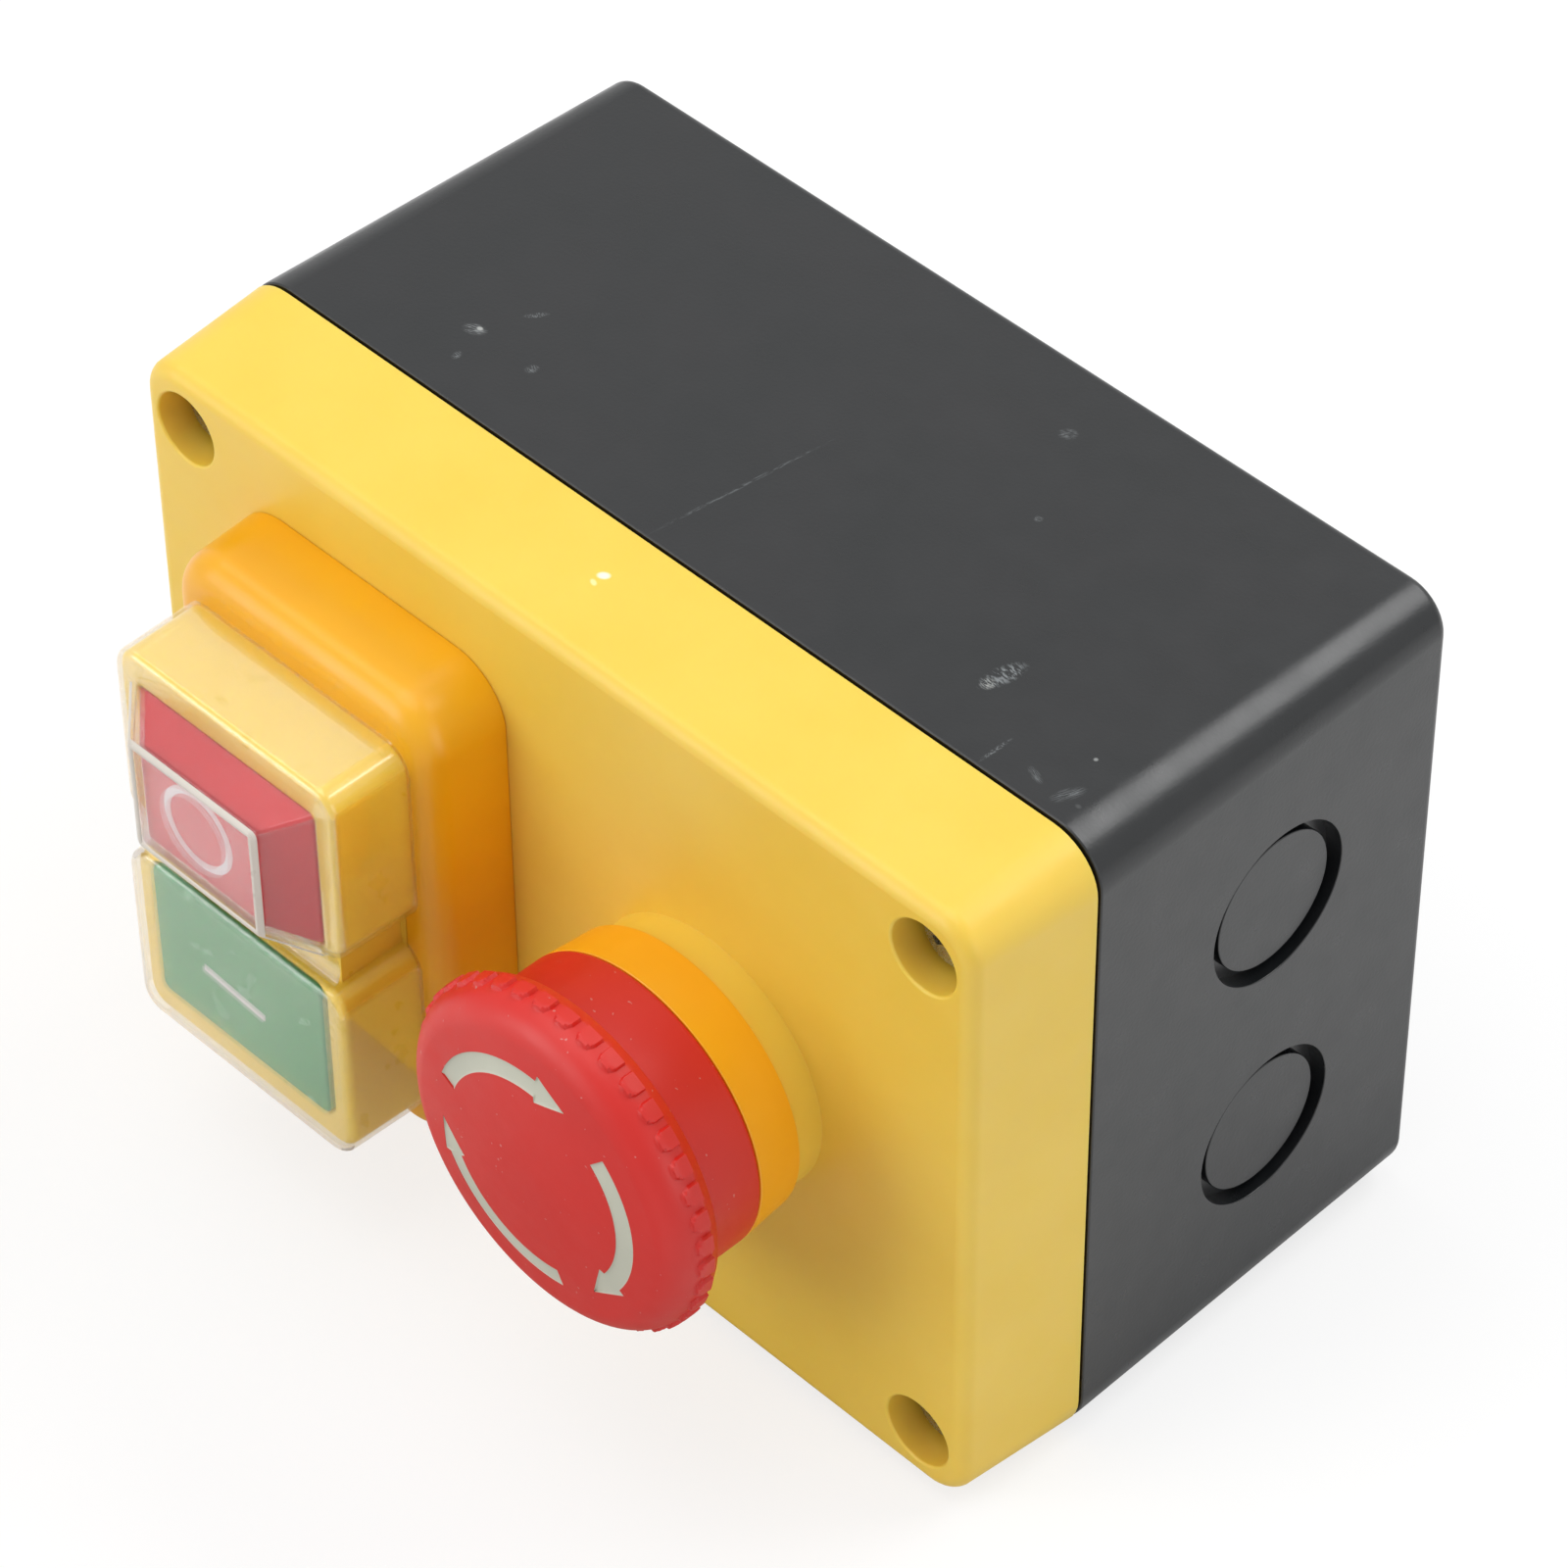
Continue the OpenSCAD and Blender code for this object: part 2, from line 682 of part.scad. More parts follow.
module clear_cover() {
    color([0.92, 0.94, 0.96, 0.35]) stand() translate([switch_x, 0, 0]) difference() {
        union() {
            for (sy = [-1, 1]) cover_dome(sy, cover_t);
            cover_pyramid(cover_t);
            slab(frame_w - 2 * web_inset, tower_gap, rim_z - web_t, rim_z + start_rise + cover_gap);
        }
        for (sy = [-1, 1]) cover_dome(sy, 0);
        cover_pyramid(0);
    }
}

module stem(z0, z1) { rod(stem_d / 2, z0, z1); }

module stop_button() {
    top = rim_z + stop_rise;
    color("#c8202c") stand() translate([switch_x, stop_y, 0]) {
        difference() {
            union() {
                slab(stop_w, stop_h, rim_z - button_skirt, rim_z + lap);
                frustum(stop_w, stop_h, rim_z + lap, stop_face_w, stop_face_h, top);
            }
            slab(stop_w - 2 * button_wall, stop_h - 2 * button_wall, rim_z - button_skirt - cut,
                rim_z - button_roof);
        }
        stem(stop_bridge_z + bridge_t, rim_z - button_roof + cut);
        rod(pin_r, stop_bridge_z - pin_tip, stop_bridge_z + bridge_t + cut);
    }
}

module start_button() {
    color("#2c9a5c") stand() translate([switch_x, start_y, 0]) {
        difference() {
            rounded_plate(start_w, start_h, start_r, rim_z - button_skirt, rim_z + start_rise);
            slab(start_w - 2 * button_wall, start_h - 2 * button_wall, rim_z - button_skirt - cut,
                rim_z - button_roof);
        }
        stem(start_stem_z, rim_z - button_roof + cut);
    }
}

// Return spring of a button, between the frame's floor and the button's roof
module button_spring(y) {
    z0 = frame_bottom_z + frame_floor;
    stand() translate([switch_x, y, 0])
        coil_spring(button_spring_d / 2, spring_wire_r, z0 + seat_gap,
            rim_z - button_roof - z0 - 2 * seat_gap, spring_turns);
}

module stop_spring() { color("silver") button_spring(stop_y); }

module start_spring() { color("silver") button_spring(start_y); }

module switch_housing() {
    blade_slot = contact_t + 2 * snug;
    color("#1d1f21") stand() translate([switch_x, 0, 0]) difference() {
        rounded_plate(housing_w, housing_h, housing_r, housing_z, lid_inner_z);
        difference() {
            rounded_plate(cavity_w, cavity_h, cavity_r, cavity_z, frame_bottom_z + cut);
            for (sx = [-1, 1]) translate([sx * housing_screw_x, 0, 0])
                rod(housing_pillar_r, cavity_z - cut, frame_bottom_z);
        }
        rounded_plate(tube_w + 2 * snug, tube_h + 2 * snug, tube_r + snug, frame_bottom_z,
            lid_inner_z + cut);
        for (sx = [-1, 1]) translate([sx * housing_screw_x, 0, 0])
            rod(housing_screw_r + running, housing_z - cut, lid_inner_z);
        for (sx = [-1, 1], y = concat(contact_y, [stop_y]))
            translate([sx * (blade_x - contact_t / 2), y, 0])
                slab(blade_slot, contact_w + 2 * snug, housing_z - cut, cavity_z + cut);
        at_corners(collar_screw_x, collar_screw_y)
            rod(collar_head_r + loose, lid_inner_z - collar_head_h - free, lid_inner_z + cut);
    }
}

module housing_screws() {
    color("silver") stand() translate([switch_x, 0, 0]) for (sx = [-1, 1])
        translate([sx * housing_screw_x, 0, housing_z]) mirror([0, 0, 1])
            screw(housing_head_d, housing_head_h, 2 * housing_screw_r,
                frame_bottom_z + housing_screw_grip - housing_z, 0);
}

module magnet_yoke() {
    color("#8d9196") stand() translate([switch_x, magnet_y, 0]) {
        slab(magnet_w, magnet_h, cavity_z, cavity_z + yoke_t);
        for (sy = [-1, 1]) translate([0, sy * (magnet_h - leg_t) / 2, 0])
            slab(magnet_w, leg_t, cavity_z + yoke_t - lap, yoke_top);
        slab(core_t, core_t, cavity_z + yoke_t - lap, yoke_top);
    }
}

// The square tube of the bobbin between two levels
module bobbin_core(z0, z1) { slab(core_t + 2 * bobbin_wall, core_t + 2 * bobbin_wall, z0, z1); }

module coil_bobbin() {
    color("#e8e4d8") stand() translate([switch_x, magnet_y, 0]) difference() {
        union() {
            bobbin_core(bobbin_z, bobbin_top);
            slab(bobbin_w, bobbin_h, bobbin_z, bobbin_z + bobbin_flange);
            slab(bobbin_w, bobbin_h, bobbin_top - bobbin_flange, bobbin_top);
        }
        slab(core_t + 2 * snug, core_t + 2 * snug, bobbin_z - cut, bobbin_top + cut);
    }
}

module coil_winding() {
    color("#b5652a") stand() translate([switch_x, magnet_y, 0]) difference() {
        rounded_plate(bobbin_w - 2 * winding_inset, bobbin_h - 2 * winding_inset, winding_r,
            bobbin_z + bobbin_flange, bobbin_top - bobbin_flange);
        bobbin_core(bobbin_z, bobbin_top);
    }
}

module armature() {
    color("#a3a7ab") stand() translate([switch_x, magnet_y, 0])
        slab(magnet_w, magnet_h, armature_z, carriage_z);
}

// The bar of a pair of moving contacts, in the carriage's slot, and the slot when grown by gap
module carriage_bar(half, gap) {
    z0 = carriage_z + slot_rise;
    slab(2 * half, contact_w + 2 * gap, z0, z0 + bridge_t);
}

module contact_carriage() {
    color("#d9d5c8") stand() translate([switch_x, magnet_y, 0]) difference() {
        slab(magnet_w + 2 * carriage_side, magnet_h + 2 * carriage_end, carriage_z, carriage_top);
        for (y = contact_y) translate([0, y - magnet_y, 0]) carriage_bar(magnet_w, snug);
    }
}

module moving_contacts() {
    color("#c87f3a") stand() for (y = contact_y) translate([switch_x, y, 0]) carriage_bar(bridge_half, 0);
}

// A bent contact strip: a pad at z that reaches in to the bridge, and a blade out through the rear wall
module contact_strip(y, z) {
    for (sx = [-1, 1]) translate([switch_x, y, 0]) mirror([sx < 0 ? 1 : 0, 0, 0]) {
        translate([blade_x - contact_reach, -contact_w / 2, z])
            cube([contact_reach, contact_w, contact_t]);
        translate([blade_x - contact_t, -contact_w / 2, housing_z - tab_len])
            cube([contact_t, contact_w, z + contact_t - housing_z + tab_len]);
    }
}

module fixed_contacts() {
    color("#c9a24a") stand() for (y = contact_y)
        contact_strip(y, carriage_z + slot_rise - button_travel - loose - contact_t);
}

module stop_bridge() {
    color("#c87f3a") stand() translate([switch_x, stop_y, 0]) difference() {
        slab(2 * bridge_half, stop_bridge_w, stop_bridge_z, stop_bridge_z + bridge_t);
        rod(pin_r + seat_gap, stop_bridge_z - cut, stop_bridge_z + bridge_t + cut);
    }
}

module stop_contacts() {
    color("#c9a24a") stand() contact_strip(stop_y, stop_bridge_z + bridge_t + loose);
}

module estop_ring() {
    color("#f59a12") stand() translate([estop_x, 0, 0]) difference() {
        translate([0, 0, boss_z]) rotate_extrude($fn = fine)
            polygon([[barrel_bore_r, 0], [ring_d0 / 2 - ring_edge, 0], [ring_d0 / 2, ring_edge],
                [ring_d1 / 2, ring_h - ring_edge], [ring_d1 / 2 - ring_edge, ring_h],
                [barrel_bore_r, ring_h]]);
        tube(seal_r1 + snug, seal_r0 - snug, boss_z - cut, boss_z + seal_t);
    }
}

module estop_seal() {
    color("#222222") stand() translate([estop_x, 0, 0]) tube(seal_r1, seal_r0, boss_z, boss_z + seal_t);
}

module estop_sleeve() {
    inner_r = flange_r + flange_gap;
    color("#b51a20") stand() translate([estop_x, 0, ring_z]) rotate_extrude($fn = fine)
        polygon(concat([[barrel_bore_r, 0]],
            [for (a = [-90:18:0])
                [sleeve_d / 2 - sleeve_edge_r * (1 - cos(a)), sleeve_edge_r * (1 + sin(a))]],
            [[sleeve_d / 2, sleeve_h], [inner_r, sleeve_h], [inner_r, sleeve_floor],
            [barrel_bore_r, sleeve_floor]]));
}

module estop_barrel() {
    color("#2a2c2e") stand() translate([estop_x, 0, 0]) difference() {
        union() {
            rod(barrel_r, barrel_z, flange_z + cut);
            rod(flange_r, flange_z, flange_z + flange_t);
        }
        rod(chamber_r, chamber_z, flange_z + flange_t + cut);
        rod(plunger_r + plunger_fit, barrel_z - cut, chamber_z + cut);
    }
}

module estop_locknut() {
    color("#33363a") stand() translate([estop_x, 0, 0]) difference() {
        translate([0, 0, lid_inner_z + core_depth - nut_t]) cylinder(r = nut_r, h = nut_t, $fn = 6);
        rod(barrel_r + running, lid_inner_z - cut, boss_z);
    }
}

module estop_stem() {
    color("#303234") stand() translate([estop_x, 0, 0]) {
        rod(plunger_r, plunger_z, plunger_flange_z);
        rod(chamber_r - loose, plunger_flange_z, plunger_flange_z + plunger_flange_t);
        rod(neck_r, plunger_flange_z + plunger_flange_t, neck_top);
    }
}

module estop_spring() {
    color("silver") stand() translate([estop_x, 0, 0])
        coil_spring((plunger_r + chamber_r) / 2, spring_wire_r, chamber_z + seat_gap,
            plunger_flange_z - chamber_z - 2 * seat_gap, spring_turns);
}

// Half section of the head's outside, from the tapered skirt over the shoulder to the face
head_outline = concat(
    [[0, head_z], [rim_r - head_skirt_taper, head_z], [rim_r, head_z + head_skirt_h]],
    [for (a = [0:8:80]) [dome_half + shoulder_r * cos(a), shoulder_z + shoulder_r * sin(a)]],
    [for (i = [9:-1:0]) let (x = dome_half * i / 10)
        [x, head_z + head_t - dome_r + sqrt(dome_r * dome_r - x * x)]]);

// Stations along a grip pad, from the skirt onto the shoulder: reach, height, half width, slope
pad_stations = concat(
    [[rim_r, head_z + head_skirt_h, pad_w / 2, 0]],
    [for (a = [0:pad_end / 3:pad_end]) [dome_half + shoulder_r * cos(a), shoulder_z + shoulder_r * sin(a),
        pad_w / 2 * sqrt(max(pad_tip, 1 - pow(a / pad_end, 2))), a]]);

// One grip pad with a round end towards the face
module grip_pad() {
    last = len(pad_stations) - 1;
    corners = [0, 1, 3, 2];
    points = [for (s = pad_stations, side = [-1, 1], lift = [-pad_root, pad_rise])
        [s[0] + lift * cos(s[3]), side * s[2], s[1] + lift * sin(s[3])]];
    walls = [for (i = [0:last - 1], k = [0:3])
        let (p = 4 * i + corners[k], q = 4 * i + corners[(k + 1) % 4])
        each [[p, p + 4, q + 4], [p, q + 4, q]]];
    ends = [[0, 2, 3], [0, 3, 1], [4 * last, 4 * last + 1, 4 * last + 3],
        [4 * last, 4 * last + 3, 4 * last + 2]];
    polyhedron(points, concat(walls, ends));
}

module estop_head() {
    color("#d42a2e") stand() translate([estop_x, 0, 0]) {
        difference() {
            union() {
                rotate_extrude($fn = fine) polygon(head_outline);
                for (i = [0:pad_count - 1]) rotate([0, 0, pad_phase + 360 * i / pad_count]) grip_pad();
            }
            rod(head_cavity_r, head_z - cut, head_roof_z);
        }
        difference() {
            rod(neck_boss_r, head_z - neck_boss_drop, head_roof_z + cut);
            rod(neck_r + running, head_z - neck_boss_drop - cut, neck_top + free);
        }
    }
}

module contact_holder() {
    color("#1f2123") stand() translate([estop_x, 0, 0]) difference() {
        rounded_plate(block_w + 2 * holder_side, block_h + 2 * holder_end, holder_r, holder_z, holder_top);
        rod(barrel_r + running, barrel_z, holder_top + cut);
        rod(pusher_r + pusher_bore_gap, holder_z - cut, barrel_z + cut);
    }
}

module contact_block() {
    color("#26282a") stand() translate([estop_x, 0, 0]) difference() {
        union() {
            slab(block_w, block_h, block_z, holder_z);
            slab(2 * terminal_reach, terminal_bank_h, block_z + terminal_bank_rise, terminal_z);
        }
        slab(block_w - 2 * block_wall, block_h - 2 * block_wall, block_z + block_floor, holder_z + cut);
        slab(block_w + cut, contact_w + 2 * snug, terminal_z, terminal_z + contact_t + snug);
        for (sx = [-1, 1]) translate([sx * terminal_screw_x, 0, 0])
            rod(terminal_screw_r + running, terminal_z - terminal_screw_len, terminal_z + cut);
    }
}

module contact_pusher() {
    color("#d8d8d0") stand() translate([estop_x, 0, 0]) {
        rod(pusher_r, pusher_top - pusher_disc, pusher_top);
        rod(pusher_neck_r, bridge_z + bridge_t, pusher_top - pusher_disc + cut);
        rod(pin_r, bridge_z - pusher_tip, bridge_z + bridge_t + cut);
    }
}

module contact_bridge() {
    color("#c87f3a") stand() translate([estop_x, 0, 0]) difference() {
        slab(bridge_len, bridge_w, bridge_z, bridge_z + bridge_t);
        rod(pin_r + seat_gap, bridge_z - cut, bridge_z + bridge_t + cut);
    }
}

module contact_spring() {
    z0 = block_z + block_floor;
    color("silver") stand() translate([estop_x, 0, 0])
        coil_spring(pin_r + contact_spring_gap, contact_wire_r, z0 + seat_gap,
            bridge_z - z0 - 2 * seat_gap, contact_turns);
}

module contact_terminals() {
    color("#c9a24a") stand() for (sx = [-1, 1]) translate([estop_x, 0, 0]) difference() {
        translate([sx > 0 ? terminal_inner : -terminal_reach, -contact_w / 2, terminal_z])
            cube([terminal_reach - terminal_inner, contact_w, contact_t]);
        translate([sx * terminal_screw_x, 0, 0])
            rod(terminal_screw_r + running, terminal_z - cut, terminal_z + contact_t + cut);
    }
}

module terminal_screws() {
    color("silver") stand() for (sx = [-1, 1]) translate([estop_x + sx * terminal_screw_x, 0, 0])
        screw(terminal_head_d, terminal_head_h, 2 * terminal_screw_r, terminal_screw_len,
            terminal_z + contact_t);
}

base_box();
lid();
lid_gasket();
lid_screws();
switch_collar();
collar_seal();
collar_screws();
switch_frame();
clear_cover();
stop_button();
start_button();
stop_spring();
start_spring();
switch_housing();
housing_screws();
magnet_yoke();
coil_bobbin();
coil_winding();
armature();
contact_carriage();
moving_contacts();
fixed_contacts();
stop_bridge();
stop_contacts();
estop_ring();
estop_seal();
estop_sleeve();
estop_barrel();
estop_locknut();
estop_stem();
estop_spring();
estop_head();
contact_holder();
contact_block();
contact_pusher();
contact_bridge();
contact_spring();
contact_terminals();
terminal_screws();
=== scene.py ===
"""An enclosed start and stop switch with an emergency stop button, dressed for rendering.

Shapes are worked out in millimetres in the panel's frame, X to the right, Y up and Z towards the
user with the back face at Z = 0, and PANEL_TO_ROW turns them into the row frame in metres.
"""

import logging
import math
from dataclasses import dataclass
from enum import Enum
from typing import Callable, Optional, Sequence

import bmesh
import bpy
from mathutils import Matrix, Vector


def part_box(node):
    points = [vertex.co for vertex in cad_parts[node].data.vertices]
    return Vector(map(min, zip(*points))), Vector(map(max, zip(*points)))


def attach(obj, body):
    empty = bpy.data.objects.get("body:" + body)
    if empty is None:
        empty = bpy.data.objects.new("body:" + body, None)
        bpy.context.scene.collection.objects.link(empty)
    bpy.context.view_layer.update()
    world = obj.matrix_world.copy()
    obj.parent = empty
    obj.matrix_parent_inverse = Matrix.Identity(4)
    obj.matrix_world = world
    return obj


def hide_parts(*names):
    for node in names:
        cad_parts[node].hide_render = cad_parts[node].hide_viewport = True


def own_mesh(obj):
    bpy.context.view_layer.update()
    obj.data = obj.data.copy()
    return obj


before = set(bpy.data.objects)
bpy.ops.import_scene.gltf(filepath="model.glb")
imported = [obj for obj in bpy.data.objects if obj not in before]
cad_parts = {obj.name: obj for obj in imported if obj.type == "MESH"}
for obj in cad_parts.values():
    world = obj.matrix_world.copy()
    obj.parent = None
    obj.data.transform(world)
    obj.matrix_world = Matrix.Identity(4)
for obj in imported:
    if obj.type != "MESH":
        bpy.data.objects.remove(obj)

LOG = logging.getLogger("control_station")
MM = 0.001
PANEL_TO_ROW = Matrix.Scale(MM, 4) @ Matrix.Rotation(math.radians(90), 4, "X")
# How far cutters and joined pieces run past a face or start short of it, in millimetres
OVERRUN = 1.0
# No corner of a section is sharper than this radius, in millimetres
SHARPEST = 0.05
# Numbers of a Mix node's sockets for colours: how much of the second, the two colours, and the result
SHARE, FIRST, SECOND, MIXED = 0, 6, 7, 2
# Values between which a noise node's output mostly lies, for gloss and for patches of colour
GLOSS_SPAN = (0.3, 0.7)
PATCH_SPAN = (0.35, 0.7)

Point = tuple[float, float, float]
Flat = tuple[float, float]
Profile = list[Flat]
Colour = tuple[float, float, float, float]


class Body(Enum):
    """The CAD bodies that pieces ride on."""

    ENCLOSURE = "enclosure"
    STOP = "stop_button"
    START = "start_button"
    ESTOP_HEAD = "estop_head"


class Tower(Enum):
    """The frame's two towers, by their side of the gap between them."""

    STOP = 1
    START = -1


class Join(Enum):
    """What combine does with its tools, by Blender's name for it."""

    ADD = "UNION"
    CUT = "DIFFERENCE"


class Arithmetic(Enum):
    """What a Math node does with its values, by Blender's name for it."""

    ADD = "ADD"
    SUBTRACT = "SUBTRACT"
    MULTIPLY = "MULTIPLY"
    LARGER = "MAXIMUM"
    WITHOUT_SIGN = "ABSOLUTE"


@dataclass(frozen=True)
class PanelBox:
    """Extent of a CAD node in the panel's frame, in millimetres."""

    x0: float
    x1: float
    y0: float
    y1: float
    z0: float
    z1: float

    @classmethod
    def of(cls, node: str) -> "PanelBox":
        """Read a node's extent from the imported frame.

        Args:
            node: name of the CAD node.

        Returns:
            The node's box.
        """
        low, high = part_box(node)
        return cls(low.x / MM, high.x / MM, low.z / MM, high.z / MM, -high.y / MM, -low.y / MM)

    @property
    def centre(self) -> Flat:
        """Middle of the box on X and Y."""
        return (self.x0 + self.x1) / 2, (self.y0 + self.y1) / 2

    @property
    def half(self) -> Flat:
        """Half the box's width and half its height."""
        return (self.x1 - self.x0) / 2, (self.y1 - self.y0) / 2


# Node graphs


def linear(hex_code: str) -> Colour:
    """Turn an sRGB hex colour into linear RGBA.

    Args:
        hex_code: six hex digits, with or without a leading hash.

    Returns:
        Linear red, green, blue and an alpha of 1.
    """
    digits = hex_code.lstrip("#")
    values = [int(digits[i:i + 2], 16) / 255 for i in (0, 2, 4)]
    red, green, blue = (v / 12.92 if v <= 0.04045 else ((v + 0.055) / 1.055) ** 2.4 for v in values)
    return red, green, blue, 1.0


def add_node(
    tree: bpy.types.NodeTree,
    kind: str,
    inputs: dict | Sequence = (),
    output: int | str = 0,
    **settings: object,
) -> Optional[bpy.types.NodeSocket]:
    """Add a node with its settings, its values and its links.

    Args:
        tree: the node tree to add it to.
        kind: Blender's name of the node's type.
        inputs: value or output socket for each input, by name or number, or a row in the node's order.
        output: the output that is handed back, by name or number.
        settings: attributes set on the node itself, plain or as an option of an Enum.

    Returns:
        The chosen output socket, or nothing for a node without outputs.
    """
    node = tree.nodes.new(kind)
    for key, value in settings.items():
        setattr(node, key, value.value if isinstance(value, Enum) else value)
    for key, value in (inputs if isinstance(inputs, dict) else dict(enumerate(inputs))).items():
        if isinstance(value, bpy.types.NodeSocket):
            tree.links.new(value, node.inputs[key])
        else:
            node.inputs[key].default_value = value
    return node.outputs[output] if node.outputs else None


def new_material(name: str) -> tuple[bpy.types.Material, bpy.types.NodeTree, bpy.types.Node]:
    """Make an empty material with a shader on its output.

    Args:
        name: the material's name.

    Returns:
        The material, its node tree and its Principled shader.
    """
    material = bpy.data.materials.new(name)
    material.use_nodes = True
    tree = material.node_tree
    tree.nodes.clear()
    shader = add_node(tree, "ShaderNodeBsdfPrincipled").node
    add_node(tree, "ShaderNodeOutputMaterial", {"Surface": shader.outputs["BSDF"]})
    return material, tree, shader


def grain(tree: bpy.types.NodeTree, size_mm: float, detail: float = 2.0) -> bpy.types.NodeSocket:
    """Add noise whose features are size_mm across on the object.

    Args:
        tree: the node tree.
        size_mm: size of one feature, in millimetres.
        detail: how many finer layers it has.

    Returns:
        The noise's value.
    """
    place = add_node(tree, "ShaderNodeTexCoord", output="Object")
    inputs = {"Vector": place, "Scale": 1 / (size_mm * MM), "Detail": detail}
    return add_node(tree, "ShaderNodeTexNoise", inputs)


# Finishes


@dataclass(frozen=True)
class Mark:
    """A rubbed spot or a speck: its middle in the row frame, its size and its turn about Z."""

    place_mm: Point
    size_mm: Point
    turn_deg: float = 0.0
    colour: str = "#74787a"
    scratched: bool = True
    strength: float = 0.75
    fade: Flat = (0.05, 0.5)
    scratch_stretch: Point = (0.7, 5.0, 1.0)
    scratch_cut: Flat = (0.48, 0.62)

    def mask(self, tree: bpy.types.NodeTree) -> bpy.types.NodeSocket:
        """Mask of the mark, broken up by fine scratches where it is rubbed.

        Args:
            tree: the node tree.

        Returns:
            A value from 0 to 1.
        """
        inputs = {
            "Vector": add_node(tree, "ShaderNodeTexCoord", output="Object"),
            "Location": [v * MM for v in self.place_mm],
            "Rotation": (0, 0, math.radians(self.turn_deg)),
            "Scale": [v * MM for v in self.size_mm],
        }
        local = add_node(tree, "ShaderNodeMapping", inputs, vector_type="TEXTURE")
        ball = add_node(tree, "ShaderNodeTexGradient", {"Vector": local}, 1, gradient_type="SPHERICAL")
        spot = add_node(tree, "ShaderNodeMapRange", (ball, *self.fade, 0, self.strength))
        if not self.scratched:
            return spot
        inputs = {"Vector": local, "Scale": self.scratch_stretch}
        stretched = add_node(tree, "ShaderNodeMapping", inputs)
        lines = add_node(tree, "ShaderNodeTexNoise", {"Vector": stretched, "Scale": 3.0, "Detail": 4.0})
        cut = add_node(tree, "ShaderNodeMapRange", (lines, *self.scratch_cut, 0, 1))
        return add_node(tree, "ShaderNodeMath", (spot, cut), operation=Arithmetic.MULTIPLY)


@dataclass(frozen=True)
class MouldedPlastic:
    """A moulded plastic with its mould texture, patchy gloss, dust and marks. Rubber and inks use it too.

    The grain that a mould leaves is about 0.1 mm across, which is too fine to show in the render, so
    each finish draws it as coarse as it needs to show.
    """

    name: str
    colour: str
    shade: str
    roughness: float
    ior: float = 1.53
    grain_mm: float = 0.35
    grain_height_mm: float = 0.004
    patch_mm: float = 14.0
    dust_mm: float = 0.5
    dust_colour: str = "#d08a86"
    dust_share: float = 0.0
    soft: float = 0.0
    soft_mm: Point = (1.6, 0.9, 0.4)
    marks: tuple[Mark, ...] = ()
    gloss_swing: Flat = (0.88, 1.15)
    dust_fade: float = 0.02
    dust_cover: float = 0.7
    mark_dulling: float = 0.3

    def build(self) -> bpy.types.Material:
        """Make the material.

        Returns:
            The material, with its marks at their places in the row frame.
        """
        material, tree, shader = new_material(self.name)
        patches = grain(tree, self.patch_mm, detail=3.0)
        share = add_node(tree, "ShaderNodeMapRange", (patches, *PATCH_SPAN, 0, 1))
        colours = {SHARE: share, FIRST: linear(self.colour), SECOND: linear(self.shade)}
        colour = add_node(tree, "ShaderNodeMix", colours, MIXED, data_type="RGBA")
        # Gloss changes over patches a third as wide as the colour's
        gloss = grain(tree, self.patch_mm / 3, detail=4.0)
        swing = [self.roughness * share for share in self.gloss_swing]
        roughness = add_node(tree, "ShaderNodeMapRange", (gloss, *GLOSS_SPAN, *swing))
        if self.dust_share > 0:
            edge = 1 - self.dust_share
            specks = grain(tree, self.dust_mm, detail=0.0)
            span = (edge, edge + self.dust_fade, 0, self.dust_cover)
            dust = add_node(tree, "ShaderNodeMapRange", (specks, *span))
            colours = {SHARE: dust, FIRST: colour, SECOND: linear(self.dust_colour)}
            colour = add_node(tree, "ShaderNodeMix", colours, MIXED, data_type="RGBA")
        for mark in self.marks:
            mask = mark.mask(tree)
            colours = {SHARE: mask, FIRST: colour, SECOND: linear(mark.colour)}
            colour = add_node(tree, "ShaderNodeMix", colours, MIXED, data_type="RGBA")
            dulling = add_node(tree, "ShaderNodeMapRange", (mask, 0, 1, 0, self.mark_dulling))
            roughness = add_node(tree, "ShaderNodeMath", (roughness, dulling), operation=Arithmetic.ADD)
        tree.links.new(colour, shader.inputs["Base Color"])
        tree.links.new(roughness, shader.inputs["Roughness"])
        inputs = {"Height": grain(tree, self.grain_mm), "Distance": self.grain_height_mm * MM}
        tree.links.new(add_node(tree, "ShaderNodeBump", inputs), shader.inputs["Normal"])
        shader.inputs["IOR"].default_value = self.ior
        if self.soft > 0:
            shader.inputs["Subsurface Weight"].default_value = self.soft
            shader.inputs["Subsurface Radius"].default_value = [reach * MM for reach in self.soft_mm]
            shader.inputs["Subsurface Scale"].default_value = 1.0
        return material


